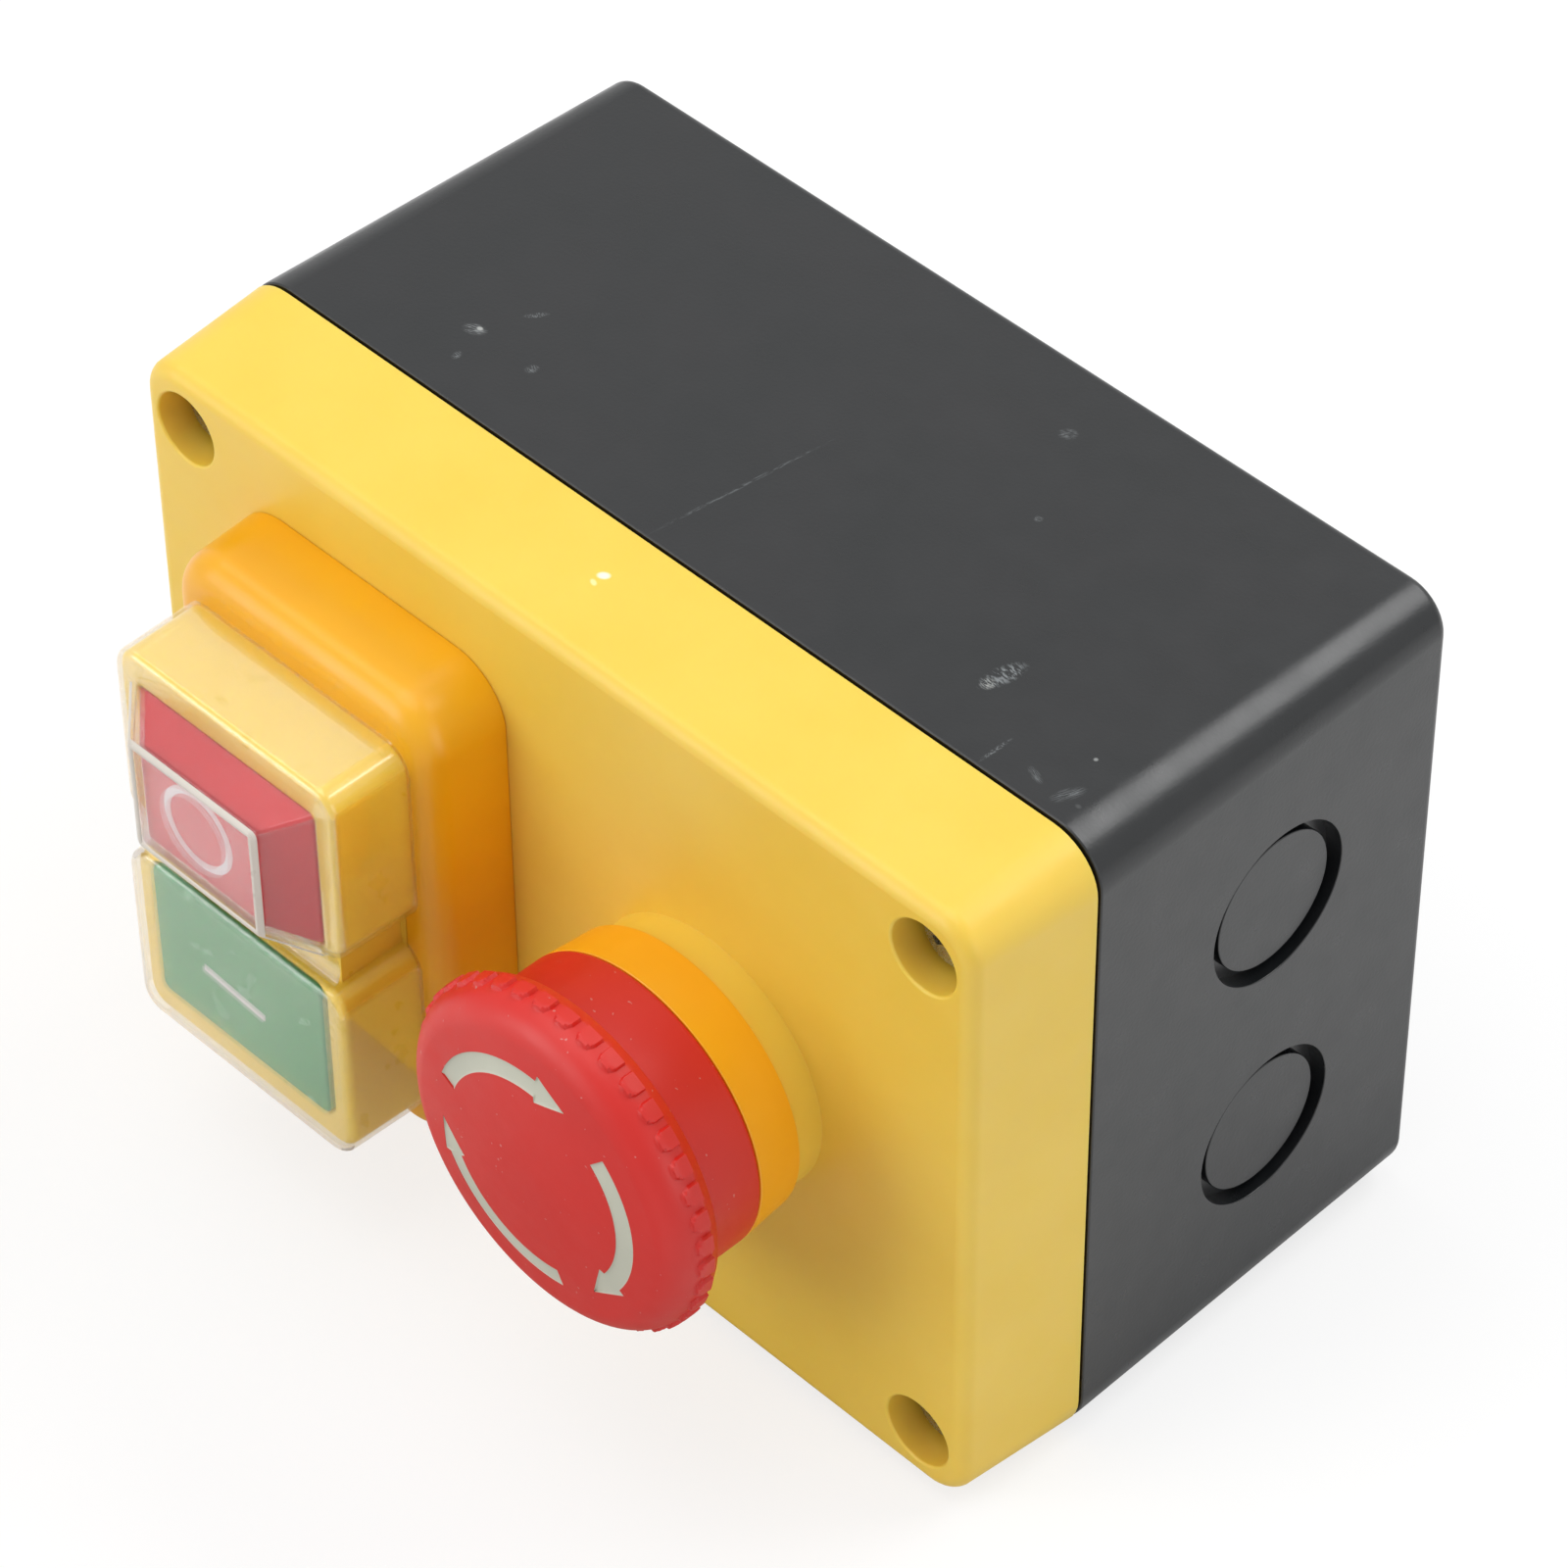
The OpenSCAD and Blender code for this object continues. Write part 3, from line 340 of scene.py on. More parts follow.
@dataclass(frozen=True)
class ClearVinyl:
    """Clear soft PVC, vacuum formed: glossy, slightly hazy and nearly colourless.

    Its body is its alpha. It is low, so that lamp light reaches what lies under the thin film.
    """

    name: str
    tint: str
    roughness: float
    ior: float = 1.46
    body: float = 0.3
    wave_mm: float = 9.0
    wave_height_mm: float = 0.003
    wave_strength: float = 0.5
    gloss_swing: Flat = (0.9, 1.15)
    specular_level: float = 0.8
    coat_ior: float = 1.75

    def build(self) -> bpy.types.Material:
        """Make the material.

        Returns:
            The film's material.
        """
        material, tree, shader = new_material(self.name)
        haze = grain(tree, self.wave_mm)
        swing = [self.roughness * share for share in self.gloss_swing]
        roughness = add_node(tree, "ShaderNodeMapRange", (haze, *PATCH_SPAN, *swing))
        share = grain(tree, self.wave_mm * 2)
        colours = {SHARE: share, FIRST: linear(self.tint), SECOND: linear("#ffffff")}
        colour = add_node(tree, "ShaderNodeMix", colours, MIXED, data_type="RGBA")
        tree.links.new(colour, shader.inputs["Base Color"])
        tree.links.new(roughness, shader.inputs["Roughness"])
        inputs = {"Height": haze, "Distance": self.wave_height_mm * MM, "Strength": self.wave_strength}
        tree.links.new(add_node(tree, "ShaderNodeBump", inputs), shader.inputs["Normal"])
        shader.inputs["IOR"].default_value = self.ior
        shader.inputs["Transmission Weight"].default_value = 1.0
        shader.inputs["Specular IOR Level"].default_value = self.specular_level
        shader.inputs["Coat Weight"].default_value = 1.0
        shader.inputs["Coat Roughness"].default_value = self.roughness
        shader.inputs["Coat IOR"].default_value = self.coat_ior
        shader.inputs["Alpha"].default_value = self.body
        return material


@dataclass(frozen=True)
class WorkedMetal:
    """Plated, drawn or stamped metal: bright, with fine tool marks and faint stains.

    Real tool marks are under 0.05 mm wide, so they are drawn coarser to show.
    """

    name: str
    colour: str
    roughness: float
    mark_mm: float = 0.12
    mark_height_mm: float = 0.002
    stain: str = "#8f8f8a"
    stain_mm: float = 2.5
    gloss_swing: Flat = (0.7, 1.3)

    def build(self) -> bpy.types.Material:
        """Make the material.

        Returns:
            The metal's material, with the shader's IOR left at its default.
        """
        material, tree, shader = new_material(self.name)
        lines = grain(tree, self.mark_mm, detail=3.0)
        stains = grain(tree, self.stain_mm, detail=3.0)
        colours = {SHARE: stains, FIRST: linear(self.colour), SECOND: linear(self.stain)}
        colour = add_node(tree, "ShaderNodeMix", colours, MIXED, data_type="RGBA")
        swing = [self.roughness * share for share in self.gloss_swing]
        roughness = add_node(tree, "ShaderNodeMapRange", (lines, *GLOSS_SPAN, *swing))
        tree.links.new(colour, shader.inputs["Base Color"])
        tree.links.new(roughness, shader.inputs["Roughness"])
        inputs = {"Height": lines, "Distance": self.mark_height_mm * MM}
        tree.links.new(add_node(tree, "ShaderNodeBump", inputs), shader.inputs["Normal"])
        shader.inputs["Metallic"].default_value = 1.0
        return material


Finish = MouldedPlastic | ClearVinyl | WorkedMetal

RUBBED_SPOTS = (
    Mark((-39.4, -44.0, 45.0), (1.7, 1.1, 2.0), 25, "#8c8f90"),
    Mark((-39.1, -43.5, 45.0), (0.5, 0.4, 2.0), 0, "#b4b6b3", False),
    Mark((-36.5, -37.5, 45.0), (0.5, 1.7, 2.0), -35),
    Mark((-37.5, -48.4, 45.0), (0.6, 0.9, 2.0), 10),
    Mark((-30.1, -44.1, 45.0), (0.8, 1.0, 2.0), -20),
    Mark((39.7, -42.6, 45.0), (1.5, 3.6, 2.0), -10, "#83888a"),
    Mark((39.5, -44.6, 45.0), (1.0, 1.1, 2.0), 0, "#9ea09d", strength=0.9),
    Mark((17.8, -9.9, 45.0), (1.3, 1.1, 2.0), 40),
    Mark((25.2, -22.2, 45.0), (0.6, 0.6, 2.0), 0),
    Mark((52.4, -50.9, 45.0), (1.7, 0.6, 2.0), -20, "#6c7072"),
    Mark((56.7, -50.6, 45.0), (2.4, 1.0, 2.0), 70, "#6c7072"),
    Mark((58.6, -51.1, 44.2), (0.9, 0.7, 1.5), 0, "#8d9090", False, 0.5),
    Mark((47.0, -51.2, 45.0), (0.35, 3.0, 2.0), 0, "#6c7072"),
    Mark((55.1, -44.8, 45.0), (0.35, 0.35, 1.0), 0, "#8d908f", False, 0.8),
    Mark((-0.4, -41.5, 45.0), (0.3, 15.0, 2.0), -6, "#565a5c"),
)
COLLAR_SPECKS = (
    Mark((-37.9, -76.2, 27.3), (0.75, 0.45, 1.2), 20, "#6a5420", False, 1.0),
    Mark((-17.6, -71.7, 27.3), (0.45, 0.4, 1.2), 0, "#8a6a1c", False, 0.8),
    Mark((-10.4, -72.6, 27.3), (0.9, 0.8, 1.4), 30, "#b06f08", False, 0.7),
)
LID_SPECKS = (
    Mark((-0.7, -61.1, 44.9), (0.95, 0.65, 1.5), 30, "#fffbe6", False, 0.9),
    Mark((-0.8, -62.5, 44.9), (0.7, 0.4, 1.5), -20, "#fff3b4", False, 0.7),
)

# ABS, moulded in a spark-eroded tool: near black, satin, with a fine even texture that scatters highlights
BLACK_ABS = MouldedPlastic(
    "black_abs_textured",
    "#131618",
    "#18191b",
    0.3,
    ior=1.5,
    grain_mm=0.45,
    grain_height_mm=0.014,
    marks=RUBBED_SPOTS,
)
# ABS, moulded in a fine-blasted tool: warm yellow, with a broad soft shine
YELLOW_ABS = MouldedPlastic(
    "yellow_abs_satin",
    "#f1cd50",
    "#eec949",
    0.4,
    grain_mm=0.8,
    grain_height_mm=0.002,
    soft=0.3,
    soft_mm=(2.6, 1.6, 0.6),
    marks=LID_SPECKS,
)
# ABS, moulded: deep amber, silky, a little translucent at its edges
AMBER_ABS = MouldedPlastic(
    "amber_abs_silky",
    "#f4b20a",
    "#f0ac06",
    0.34,
    grain_mm=0.8,
    grain_height_mm=0.002,
    soft=0.15,
    marks=COLLAR_SPECKS,
)
# ABS, moulded: pale straw yellow, satin
STRAW_ABS = MouldedPlastic("straw_abs_satin", "#eeca46", "#eac640", 0.3, soft=0.1)
# Nylon, moulded: signal red with a silky mould skin and a little pale dust
RED_NYLON = MouldedPlastic(
    "red_nylon_satin",
    "#d4221a",
    "#cf2018",
    0.42,
    ior=1.5,
    grain_mm=0.5,
    grain_height_mm=0.008,
    dust_share=0.165,
    soft=0.08,
)
# Polycarbonate, moulded: deep red, glossy
RED_POLYCARBONATE = MouldedPlastic(
    "red_polycarbonate_gloss", "#d0222b", "#ca1f28", 0.2, grain_height_mm=0.002
)
# Polycarbonate, moulded: cool green, glossy
GREEN_POLYCARBONATE = MouldedPlastic(
    "green_polycarbonate_gloss", "#2f914d", "#2d8d4a", 0.25, grain_height_mm=0.002
)
# ABS, moulded: orange yellow, satin
ORANGE_ABS = MouldedPlastic(
    "orange_abs_satin", "#fdb215", "#f8ac10", 0.38, grain_mm=0.5, grain_height_mm=0.006, soft=0.1
)
# Epoxy ink, wiped into a recess: pale grey white, dull, creeping up the walls
WHITE_INK = MouldedPlastic("white_epoxy_ink", "#c9cab9", "#bfc0b0", 0.45, grain_mm=0.7, grain_height_mm=0.02)
# Polyester ink, printed: soft white on the button faces
PRINT_INK = MouldedPlastic("pale_print_ink", "#e2d8da", "#dcd2d5", 0.4)
# Soft PVC, vacuum formed: water clear with a slightly wavy skin
CLEAR_PVC = ClearVinyl("clear_pvc_formed", "#fefdf9", 0.05)
# Soft PVC where it is folded over an edge: milky and dull, partly the fold's own whitening and partly a
# painted highlight for the light that catches the edge
MILKY_PVC_AND_SHEEN = MouldedPlastic("milky_pvc_edge_and_sheen", "#d8d0c6", "#cfc7bc", 0.3)
# Rubber, moulded: matt black
BLACK_RUBBER = MouldedPlastic("black_rubber_matt", "#161616", "#1b1b1b", 0.7)
# Glass filled PBT, moulded: matt black
BLACK_PBT = MouldedPlastic("black_pbt_matt", "#1f2123", "#242628", 0.55)
# Nylon without pigment, moulded: cream, dull
CREAM_NYLON = MouldedPlastic("cream_nylon", "#dcd6c2", "#d4cdb8", 0.5)
# Steel, zinc plated: bright and slightly blue
ZINC_STEEL = WorkedMetal("zinc_plated_steel", "#c4c6c8", 0.28)
# Spring steel, drawn: grey and smooth
SPRING_STEEL = WorkedMetal("drawn_spring_steel", "#a8a8a6", 0.25)
# Copper alloy, stamped: warm red brown
COPPER_ALLOY = WorkedMetal("stamped_copper_alloy", "#b87548", 0.3, stain="#8a5a3c")
# Brass strip, stamped: yellow
BRASS_STRIP = WorkedMetal("stamped_brass_strip", "#c9a55a", 0.3, stain="#94804e")

NODE_FINISHES = {
    BLACK_RUBBER: ("lid_gasket", "collar_seal", "estop_seal"),
    BLACK_PBT: (
        "switch_housing",
        "estop_barrel",
        "estop_locknut",
        "estop_stem",
        "contact_holder",
        "contact_block",
    ),
    CREAM_NYLON: ("coil_bobbin", "contact_carriage", "contact_pusher"),
    ZINC_STEEL: ("collar_screws", "housing_screws", "terminal_screws", "magnet_yoke", "armature"),
    COPPER_ALLOY: ("coil_winding", "moving_contacts", "stop_bridge", "contact_bridge"),
    BRASS_STRIP: ("fixed_contacts", "stop_contacts", "contact_terminals"),
}


class Palette:
    """Builds each finish once and hands out its material."""

    def __init__(self) -> None:
        """Start with no materials."""
        self.made: dict[str, bpy.types.Material] = {}

    def get(self, finish: Finish) -> bpy.types.Material:
        """Look up the material of a finish, or build it.

        Args:
            finish: the finish.

        Returns:
            Its material, the same one each time.
        """
        if finish.name not in self.made:
            self.made[finish.name] = finish.build()
        return self.made[finish.name]


PALETTE = Palette()


# Shapes


@dataclass(frozen=True)
class Section:
    """One rounded rectangle of a loft, at a level."""

    half_w: float
    half_h: float
    radius: float
    z: float
    x: float = 0.0
    y: float = 0.0

    def ring(self, steps: int) -> list[Point]:
        """Points round the rectangle, counter-clockwise as the user sees it.

        Args:
            steps: pieces in each corner's arc.

        Returns:
            The points in millimetres.
        """
        points = []
        for quarter, (sx, sy) in enumerate(((1, 1), (-1, 1), (-1, -1), (1, -1))):
            cx = self.x + sx * (self.half_w - self.radius)
            cy = self.y + sy * (self.half_h - self.radius)
            for k in range(steps + 1):
                turn = math.radians(90 * (quarter + k / steps))
                points.append((cx + self.radius * math.cos(turn), cy + self.radius * math.sin(turn), self.z))
        return points

    def inset(self, by: float, z: float) -> "Section":
        """The same rectangle at another level, drawn in by a distance with its corner centres kept."""
        radius = max(self.radius - by, SHARPEST)
        return Section(self.half_w - by, self.half_h - by, radius, z, self.x, self.y)


def edge_profile(depth: float, draft: float, radius: float, steps: int = 8, foot: float = 0.0) -> Profile:
    """Inset and rise of a moulded wall that draws in by draft and ends in a round edge.

    Args:
        depth: height of the wall.
        draft: how far it draws in below the round edge.
        radius: radius of the round edge.
        steps: pieces in the edge's arc.
        foot: radius of a small round edge at the foot.

    Returns:
        Pairs of inset and rise, from the foot up.
    """
    quarter = [math.pi / 2 * k / steps for k in range(steps + 1)]
    start = [(foot * (1 - math.sin(a)), foot * (1 - math.cos(a))) for a in quarter]
    edge = [(draft + radius * (1 - math.cos(a)), depth - radius * (1 - math.sin(a))) for a in quarter]
    return (start if foot > 0 else [(0.0, 0.0)]) + edge


def wall_sections(base: Section, profile: Profile, direction: float = 1.0) -> list[Section]:
    """Sections of a moulded wall that stands on a base.

    Args:
        base: the rectangle at the foot.
        profile: pairs of inset and rise.
        direction: 1 rises towards the user and -1 towards the back.

    Returns:
        One section for each pair.
    """
    return [base.inset(inset, base.z + direction * rise) for inset, rise in profile]


def solid_through(name: str, rings: Sequence[Sequence[Point]], joined: bool = False) -> bpy.types.Object:
    """Make a closed solid whose skin runs from ring to ring.

    Args:
        name: the object's name.
        rings: closed rows of points in the panel's frame, all of one length.
        joined: whether the last ring meets the first, in place of a flat cap on each.

    Returns:
        The object, linked to the scene, with clean outward faces.
    """
    count = len(rings[0])
    faces: list[Sequence[int]] = []
    for level in range(len(rings) if joined else len(rings) - 1):
        below, above = level * count, (level + 1) % len(rings) * count
        for k in range(count):
            j = (k + 1) % count
            faces.append((below + k, below + j, above + j, above + k))
    if not joined:
        faces += [list(range(count))[::-1], [(len(rings) - 1) * count + k for k in range(count)]]
    mesh = bpy.data.meshes.new(name)
    mesh.from_pydata([point for ring in rings for point in ring], [], faces)
    tidy_mesh(mesh)
    piece = bpy.data.objects.new(name, mesh)
    bpy.context.scene.collection.objects.link(piece)
    return piece


def tidy_mesh(mesh: bpy.types.Mesh, merge_mm: float = 1e-4) -> None:
    """Merge doubled points, drop faces without area and turn the rest outwards.

    Args:
        mesh: the mesh in the panel's frame.
        merge_mm: points closer than this become one.
    """
    work = bmesh.new()
    work.from_mesh(mesh)
    bmesh.ops.remove_doubles(work, verts=work.verts, dist=merge_mm)
    bmesh.ops.dissolve_degenerate(work, edges=work.edges, dist=merge_mm / 2)
    bmesh.ops.recalc_face_normals(work, faces=work.faces)
    work.to_mesh(mesh)
    work.free()


def loft(name: str, sections: Sequence[Section], steps: int = 10) -> bpy.types.Object:
    """Make a closed solid through rounded rectangles, with flat ends."""
    return solid_through(name, [section.ring(steps) for section in sections])


def revolve(
    name: str, profile: Profile, steps: int = 128, x: float = 0.0, y: float = 0.0
) -> bpy.types.Object:
    """Turn a profile about the line at x, y.

    Args:
        name: the object's name.
        profile: pairs of radius and level, in order, closed or from the axis to the axis.
        steps: pieces in the turn.
        x: place of the axis.
        y: place of the axis.

    Returns:
        The object in the panel's frame.
    """
    rings = []
    for k in range(steps):
        turn = math.tau * k / steps
        rings.append([(x + r * math.cos(turn), y + r * math.sin(turn), z) for r, z in profile])
    return solid_through(name, rings, joined=True)


def peg(radius: float, low: float, high: float, place: Flat, steps: int = 48) -> bpy.types.Object:
    """Make a plain rod that is joined to a piece or cut from it."""
    return revolve("peg", [(0, low), (radius, low), (radius, high), (0, high)], steps, *place)


def arc_points(r: float, z: float, radius: float, start: float, end: float, steps: int = 6) -> Profile:
    """Points of a profile's arc.

    Args:
        r: radius of the arc's centre from the axis.
        z: level of the arc's centre.
        radius: radius of the arc.
        start: first angle in degrees, 0 pointing away from the axis and 90 to the user.
        end: last angle in degrees.
        steps: pieces in the arc.

    Returns:
        Pairs of radius and level.
    """
    turns = [math.radians(start + (end - start) * k / steps) for k in range(steps + 1)]
    return [(r + radius * math.cos(t), z + radius * math.sin(t)) for t in turns]


def hole_cutter(radius: float, bottom: float, top: float, lip: float, place: Flat) -> bpy.types.Object:
    """Make a rod that cuts a blind hole with a softly rounded mouth.

    Args:
        radius: radius of the hole.
        bottom: level of the hole's floor.
        top: level of the face that it opens in.
        lip: radius of the mouth's rounding.
        place: X and Y of its axis.

    Returns:
        The cutter.
    """
    profile = [(0.0, bottom), (radius, bottom)]
    profile += arc_points(radius + lip, top - lip, lip, 180, 90)
    profile += [(radius + lip, top + OVERRUN), (0.0, top + OVERRUN)]
    return revolve("cutter", profile, 64, *place)


def combine(piece: bpy.types.Object, tools: Sequence[bpy.types.Object], join: Join) -> bpy.types.Object:
    """Cut tools from a piece or add them to it, and delete the tools.

    Args:
        piece: the object that is changed.
        tools: the objects that are used up.
        join: whether the tools are added or cut away.

    Returns:
        The changed piece.
    """
    for tool in tools:
        change = piece.modifiers.new("join", "BOOLEAN")
        change.operation = join.value
        change.solver = "EXACT"
        change.object = tool
        bake_modifiers(piece)
        bpy.data.objects.remove(tool, do_unlink=True)
    return piece


def bake_modifiers(piece: bpy.types.Object) -> None:
    """Replace a piece's mesh by what its modifiers make of it.

    Args:
        piece: the object, which loses its modifiers.
    """
    graph = bpy.context.evaluated_depsgraph_get()
    mesh = bpy.data.meshes.new_from_object(piece.evaluated_get(graph))
    piece.modifiers.clear()
    piece.data = mesh


@dataclass(frozen=True)
class Wear:
    """What a piece is dressed in: its finish, and a second one on the faces that a test picks."""

    finish: Finish
    slot: str
    second: Optional[Finish] = None
    picks: Optional[Callable[[Vector, Vector], bool]] = None
    crease_deg: float = 28.0

    def mark_faces(self, mesh: bpy.types.Mesh) -> None:
        """Give the mesh its materials, before it leaves the panel's frame.

        Args:
            mesh: the mesh in millimetres.
        """
        mesh.materials.clear()
        mesh.materials.append(PALETTE.get(self.finish))
        if self.second is None:
            return
        mesh.materials.append(PALETTE.get(self.second))
        for face in mesh.polygons:
            face.material_index = int(self.picks(face.center, face.normal))


def dress(piece: bpy.types.Object, wear: Wear, body: Body, *replaces: str) -> bpy.types.Object:
    """Smooth a piece, give it its finish and its body, and bring it to the row frame.

    Args:
        piece: the object in the panel's frame, in millimetres.
        wear: its finish and slot.
        body: the CAD body that it rides on.
        replaces: CAD nodes that it stands for.

    Returns:
        The same object.
    """
    tidy_mesh(piece.data, merge_mm=2e-4)
    wear.mark_faces(piece.data)
    piece.data.transform(PANEL_TO_ROW)
    piece.data.polygons.foreach_set("use_smooth", [True] * len(piece.data.polygons))
    piece.data.set_sharp_from_angle(angle=math.radians(wear.crease_deg))
    piece.modifiers.new("shading", "WEIGHTED_NORMAL").keep_sharp = True
    bake_modifiers(piece)
    piece.data.name = piece.name
    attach(piece, body.value)
    if replaces:
        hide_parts(*replaces)
    LOG.info("%s: %d faces of %s", piece.name, len(piece.data.polygons), wear.finish.name)
    return piece


# Sub-assemblies


@dataclass
class Enclosure:
    """The textured black base, the yellow lid, and the screws that hold them together."""

    corner_r: float = 6.5
    wall: float = 3.0
    rim_r: float = 0.25
    peg_root: float = 1.0
    base_draft: float = 1.15
    base_edge_r: float = 1.2
    lid_draft: float = 1.2
    lid_edge_r: float = 2.0
    lid_inner_edge_r: float = 1.0
    pillar_r: float = 6.0
    pillar_gap: float = 0.1
    counterbore_r: float = 4.6
    counterbore_lip: float = 0.35
    screw_r: float = 2.0
    screw_hole_r: float = 2.3
    screw_len: float = 30.0
    screw_head_r: float = 3.8
    screw_head_h: float = 3.2
    screw_head_rise: float = 0.8
    screw_head_edge: float = 0.7
    screw_slack: float = 0.05
    screw_point: Flat = (0.5, 1.0)
    thread_spare: float = 1.0
    crown_share: float = 0.4
    crown_drop: float = 0.03
    crown_deg: float = 70.0
    cross_foot: Flat = (2.1, 0.42)
    cross_mouth: Flat = (2.5, 0.62)
    cross_r: float = 0.1
    cross_over: float = 0.5
    cross_deg: Flat = (35.0, 125.0)
    recess_depth: float = 1.5
    boss_r: float = 16.9
    boss_foot_r: float = 0.05
    boss_top_r: float = 0.5
    barrel_hole_r: float = 11.1
    barrel_hole_depth: float = 5.0
    fixing_r: float = 2.25
    fixing_x: float = 50.0
    fixing_y: float = 30.0
    fixing_boss_r: float = 5.25
    fixing_boss_h: float = 4.5
    knockout_r: float = 10.2
    knockout_y: float = 17.2
    knockout_z: float = 25.5
    groove_w: float = 1.5
    groove_depth: float = 2.2
    disc_recess: float = 0.75
    disc_lip: float = 0.15

    def build(self) -> None:
        """Make the base, the lid and the four screws."""
        self.base = PanelBox.of("base_box")
        self.lid = PanelBox.of("lid")
        self.front_z = PanelBox.of("switch_collar").z0
        screws = PanelBox.of("lid_screws")
        self.screw_x = screws.x1 - self.screw_head_r
        self.screw_y = screws.y1 - self.screw_head_r
        self.screw_top = screws.z1 + self.screw_head_rise
        self.screw_seat = screws.z1 - self.screw_head_h
        self.build_base()
        self.build_lid()
        for number, place in enumerate(self.corners(self.screw_x, self.screw_y), 1):
            wear = Wear(ZINC_STEEL, "zinc_steel")
            dress(self.screw(f"lid_screw_{number}", place), wear, Body.ENCLOSURE, "lid_screws")

    @staticmethod
    def corners(x: float, y: float) -> list[Flat]:
        """Four places, one in each corner of the panel."""
        return [(sx * x, sy * y) for sx in (-1, 1) for sy in (-1, 1)]

    def build_base(self) -> None:
        """Make the open black box with its pillars, fixing holes and knockout grooves."""
        half_w, half_h = self.base.half
        depth = self.base.z1
        rim = Section(half_w, half_h, self.corner_r, depth)
        draft, edge = self.base_draft, self.base_edge_r
        outside = wall_sections(rim, edge_profile(depth, draft, edge, foot=self.rim_r), -1)
        inner = rim.inset(self.wall, depth)
        inside = wall_sections(inner, edge_profile(depth - self.wall, draft, edge), -1)
        box = loft("base_box", inside[::-1] + outside)
        screw_places = self.corners(self.screw_x, self.screw_y)
        fixing_places = self.corners(self.fixing_x, self.fixing_y)
        additions = [peg(self.pillar_r, self.peg_root, depth, place) for place in screw_places]
        boss = self.fixing_boss_r, self.peg_root, self.fixing_boss_h
        additions += [peg(*boss, place) for place in fixing_places]
        combine(box, additions, Join.ADD)
        thread_end = self.screw_seat - self.screw_len - self.thread_spare
        cutters = [peg(self.screw_r, thread_end, depth + OVERRUN, place, 24) for place in screw_places]
        bore = self.fixing_r, -OVERRUN, self.fixing_boss_h + OVERRUN
        cutters += [peg(*bore, place, 32) for place in fixing_places]
        cutters += [self.knockout_cutter(side * self.knockout_y) for side in (-1, 1)]
        combine(box, cutters, Join.CUT)
        dress(box, Wear(BLACK_ABS, "black_abs"), Body.ENCLOSURE, "base_box")

    def knockout_cutter(self, y: float) -> bpy.types.Object:
        """Make the stepped cutter of a knockout: a deep groove round a disc that lies a little back.

        Args:
            y: height of the knockout's centre.

        Returns:
            The cutter, in the right end wall.
        """
        outer, inner, lip = self.knockout_r, self.knockout_r - self.groove_w, self.disc_lip
        profile = [(0.0, -self.disc_recess)]
        profile += arc_points(inner - lip, -self.disc_recess - lip, lip, 90, 0, 4)
        profile += [(inner, -self.groove_depth), (outer, -self.groove_depth)]
        profile += arc_points(outer + lip, -lip, lip, 180, 90, 4)
        profile += [(outer + lip, OVERRUN), (0.0, OVERRUN)]
        cutter = revolve("groove", profile, 96)
        lean = math.atan2(self.base_draft, self.base.z1)
        drawn_in = self.base_draft * (1 - self.knockout_z / self.base.z1)
        place = Matrix.Translation((self.base.half[0] - drawn_in, y, self.knockout_z))
        cutter.data.transform(place @ Matrix.Rotation(math.radians(90) + lean, 4, "Y"))
        return cutter

    def build_lid(self) -> None:
        """Make the yellow lid with its boss, counterbores and openings."""
        half_w, half_h = self.lid.half
        rear, front = self.lid.z0, self.front_z
        rim = Section(half_w, half_h, self.corner_r, rear)
        profile = edge_profile(front - rear, self.lid_draft, self.lid_edge_r, foot=self.rim_r)
        outside = wall_sections(rim, profile)
        inner = rim.inset(self.wall, rear)
        profile = edge_profile(front - rear - self.wall, self.lid_draft, self.lid_inner_edge_r)
        inside = wall_sections(inner, profile)
        lid = loft("lid", inside[::-1] + outside)
        places = self.corners(self.screw_x, self.screw_y)
        pillar = self.pillar_r - self.pillar_gap
        combine(lid, [peg(pillar, rear, front - self.peg_root, place) for place in places], Join.ADD)
        ring = PanelBox.of("estop_ring")
        foot, top = self.boss_foot_r, self.boss_top_r
        profile = [(0.0, front - OVERRUN), (self.boss_r + foot, front - OVERRUN)]
        profile += arc_points(self.boss_r + foot, front + foot, foot, 270, 180)
        profile += arc_points(self.boss_r - top, ring.z0 - top, top, 0, 90)
        profile += [(0.0, ring.z0)]
        combine(lid, [revolve("boss", profile, 128, *ring.centre)], Join.ADD)
        lip = self.counterbore_lip
        cutters = [hole_cutter(self.counterbore_r, self.screw_seat, front, lip, place) for place in places]
        cutters += [peg(self.screw_hole_r, rear - OVERRUN, front, place, 32) for place in places]
        low, high = front - self.barrel_hole_depth, ring.z0 + OVERRUN
        cutters.append(peg(self.barrel_hole_r, low, high, ring.centre, 64))
        combine(lid, cutters, Join.CUT)
        dress(lid, Wear(YELLOW_ABS, "yellow_abs"), Body.ENCLOSURE, "lid")

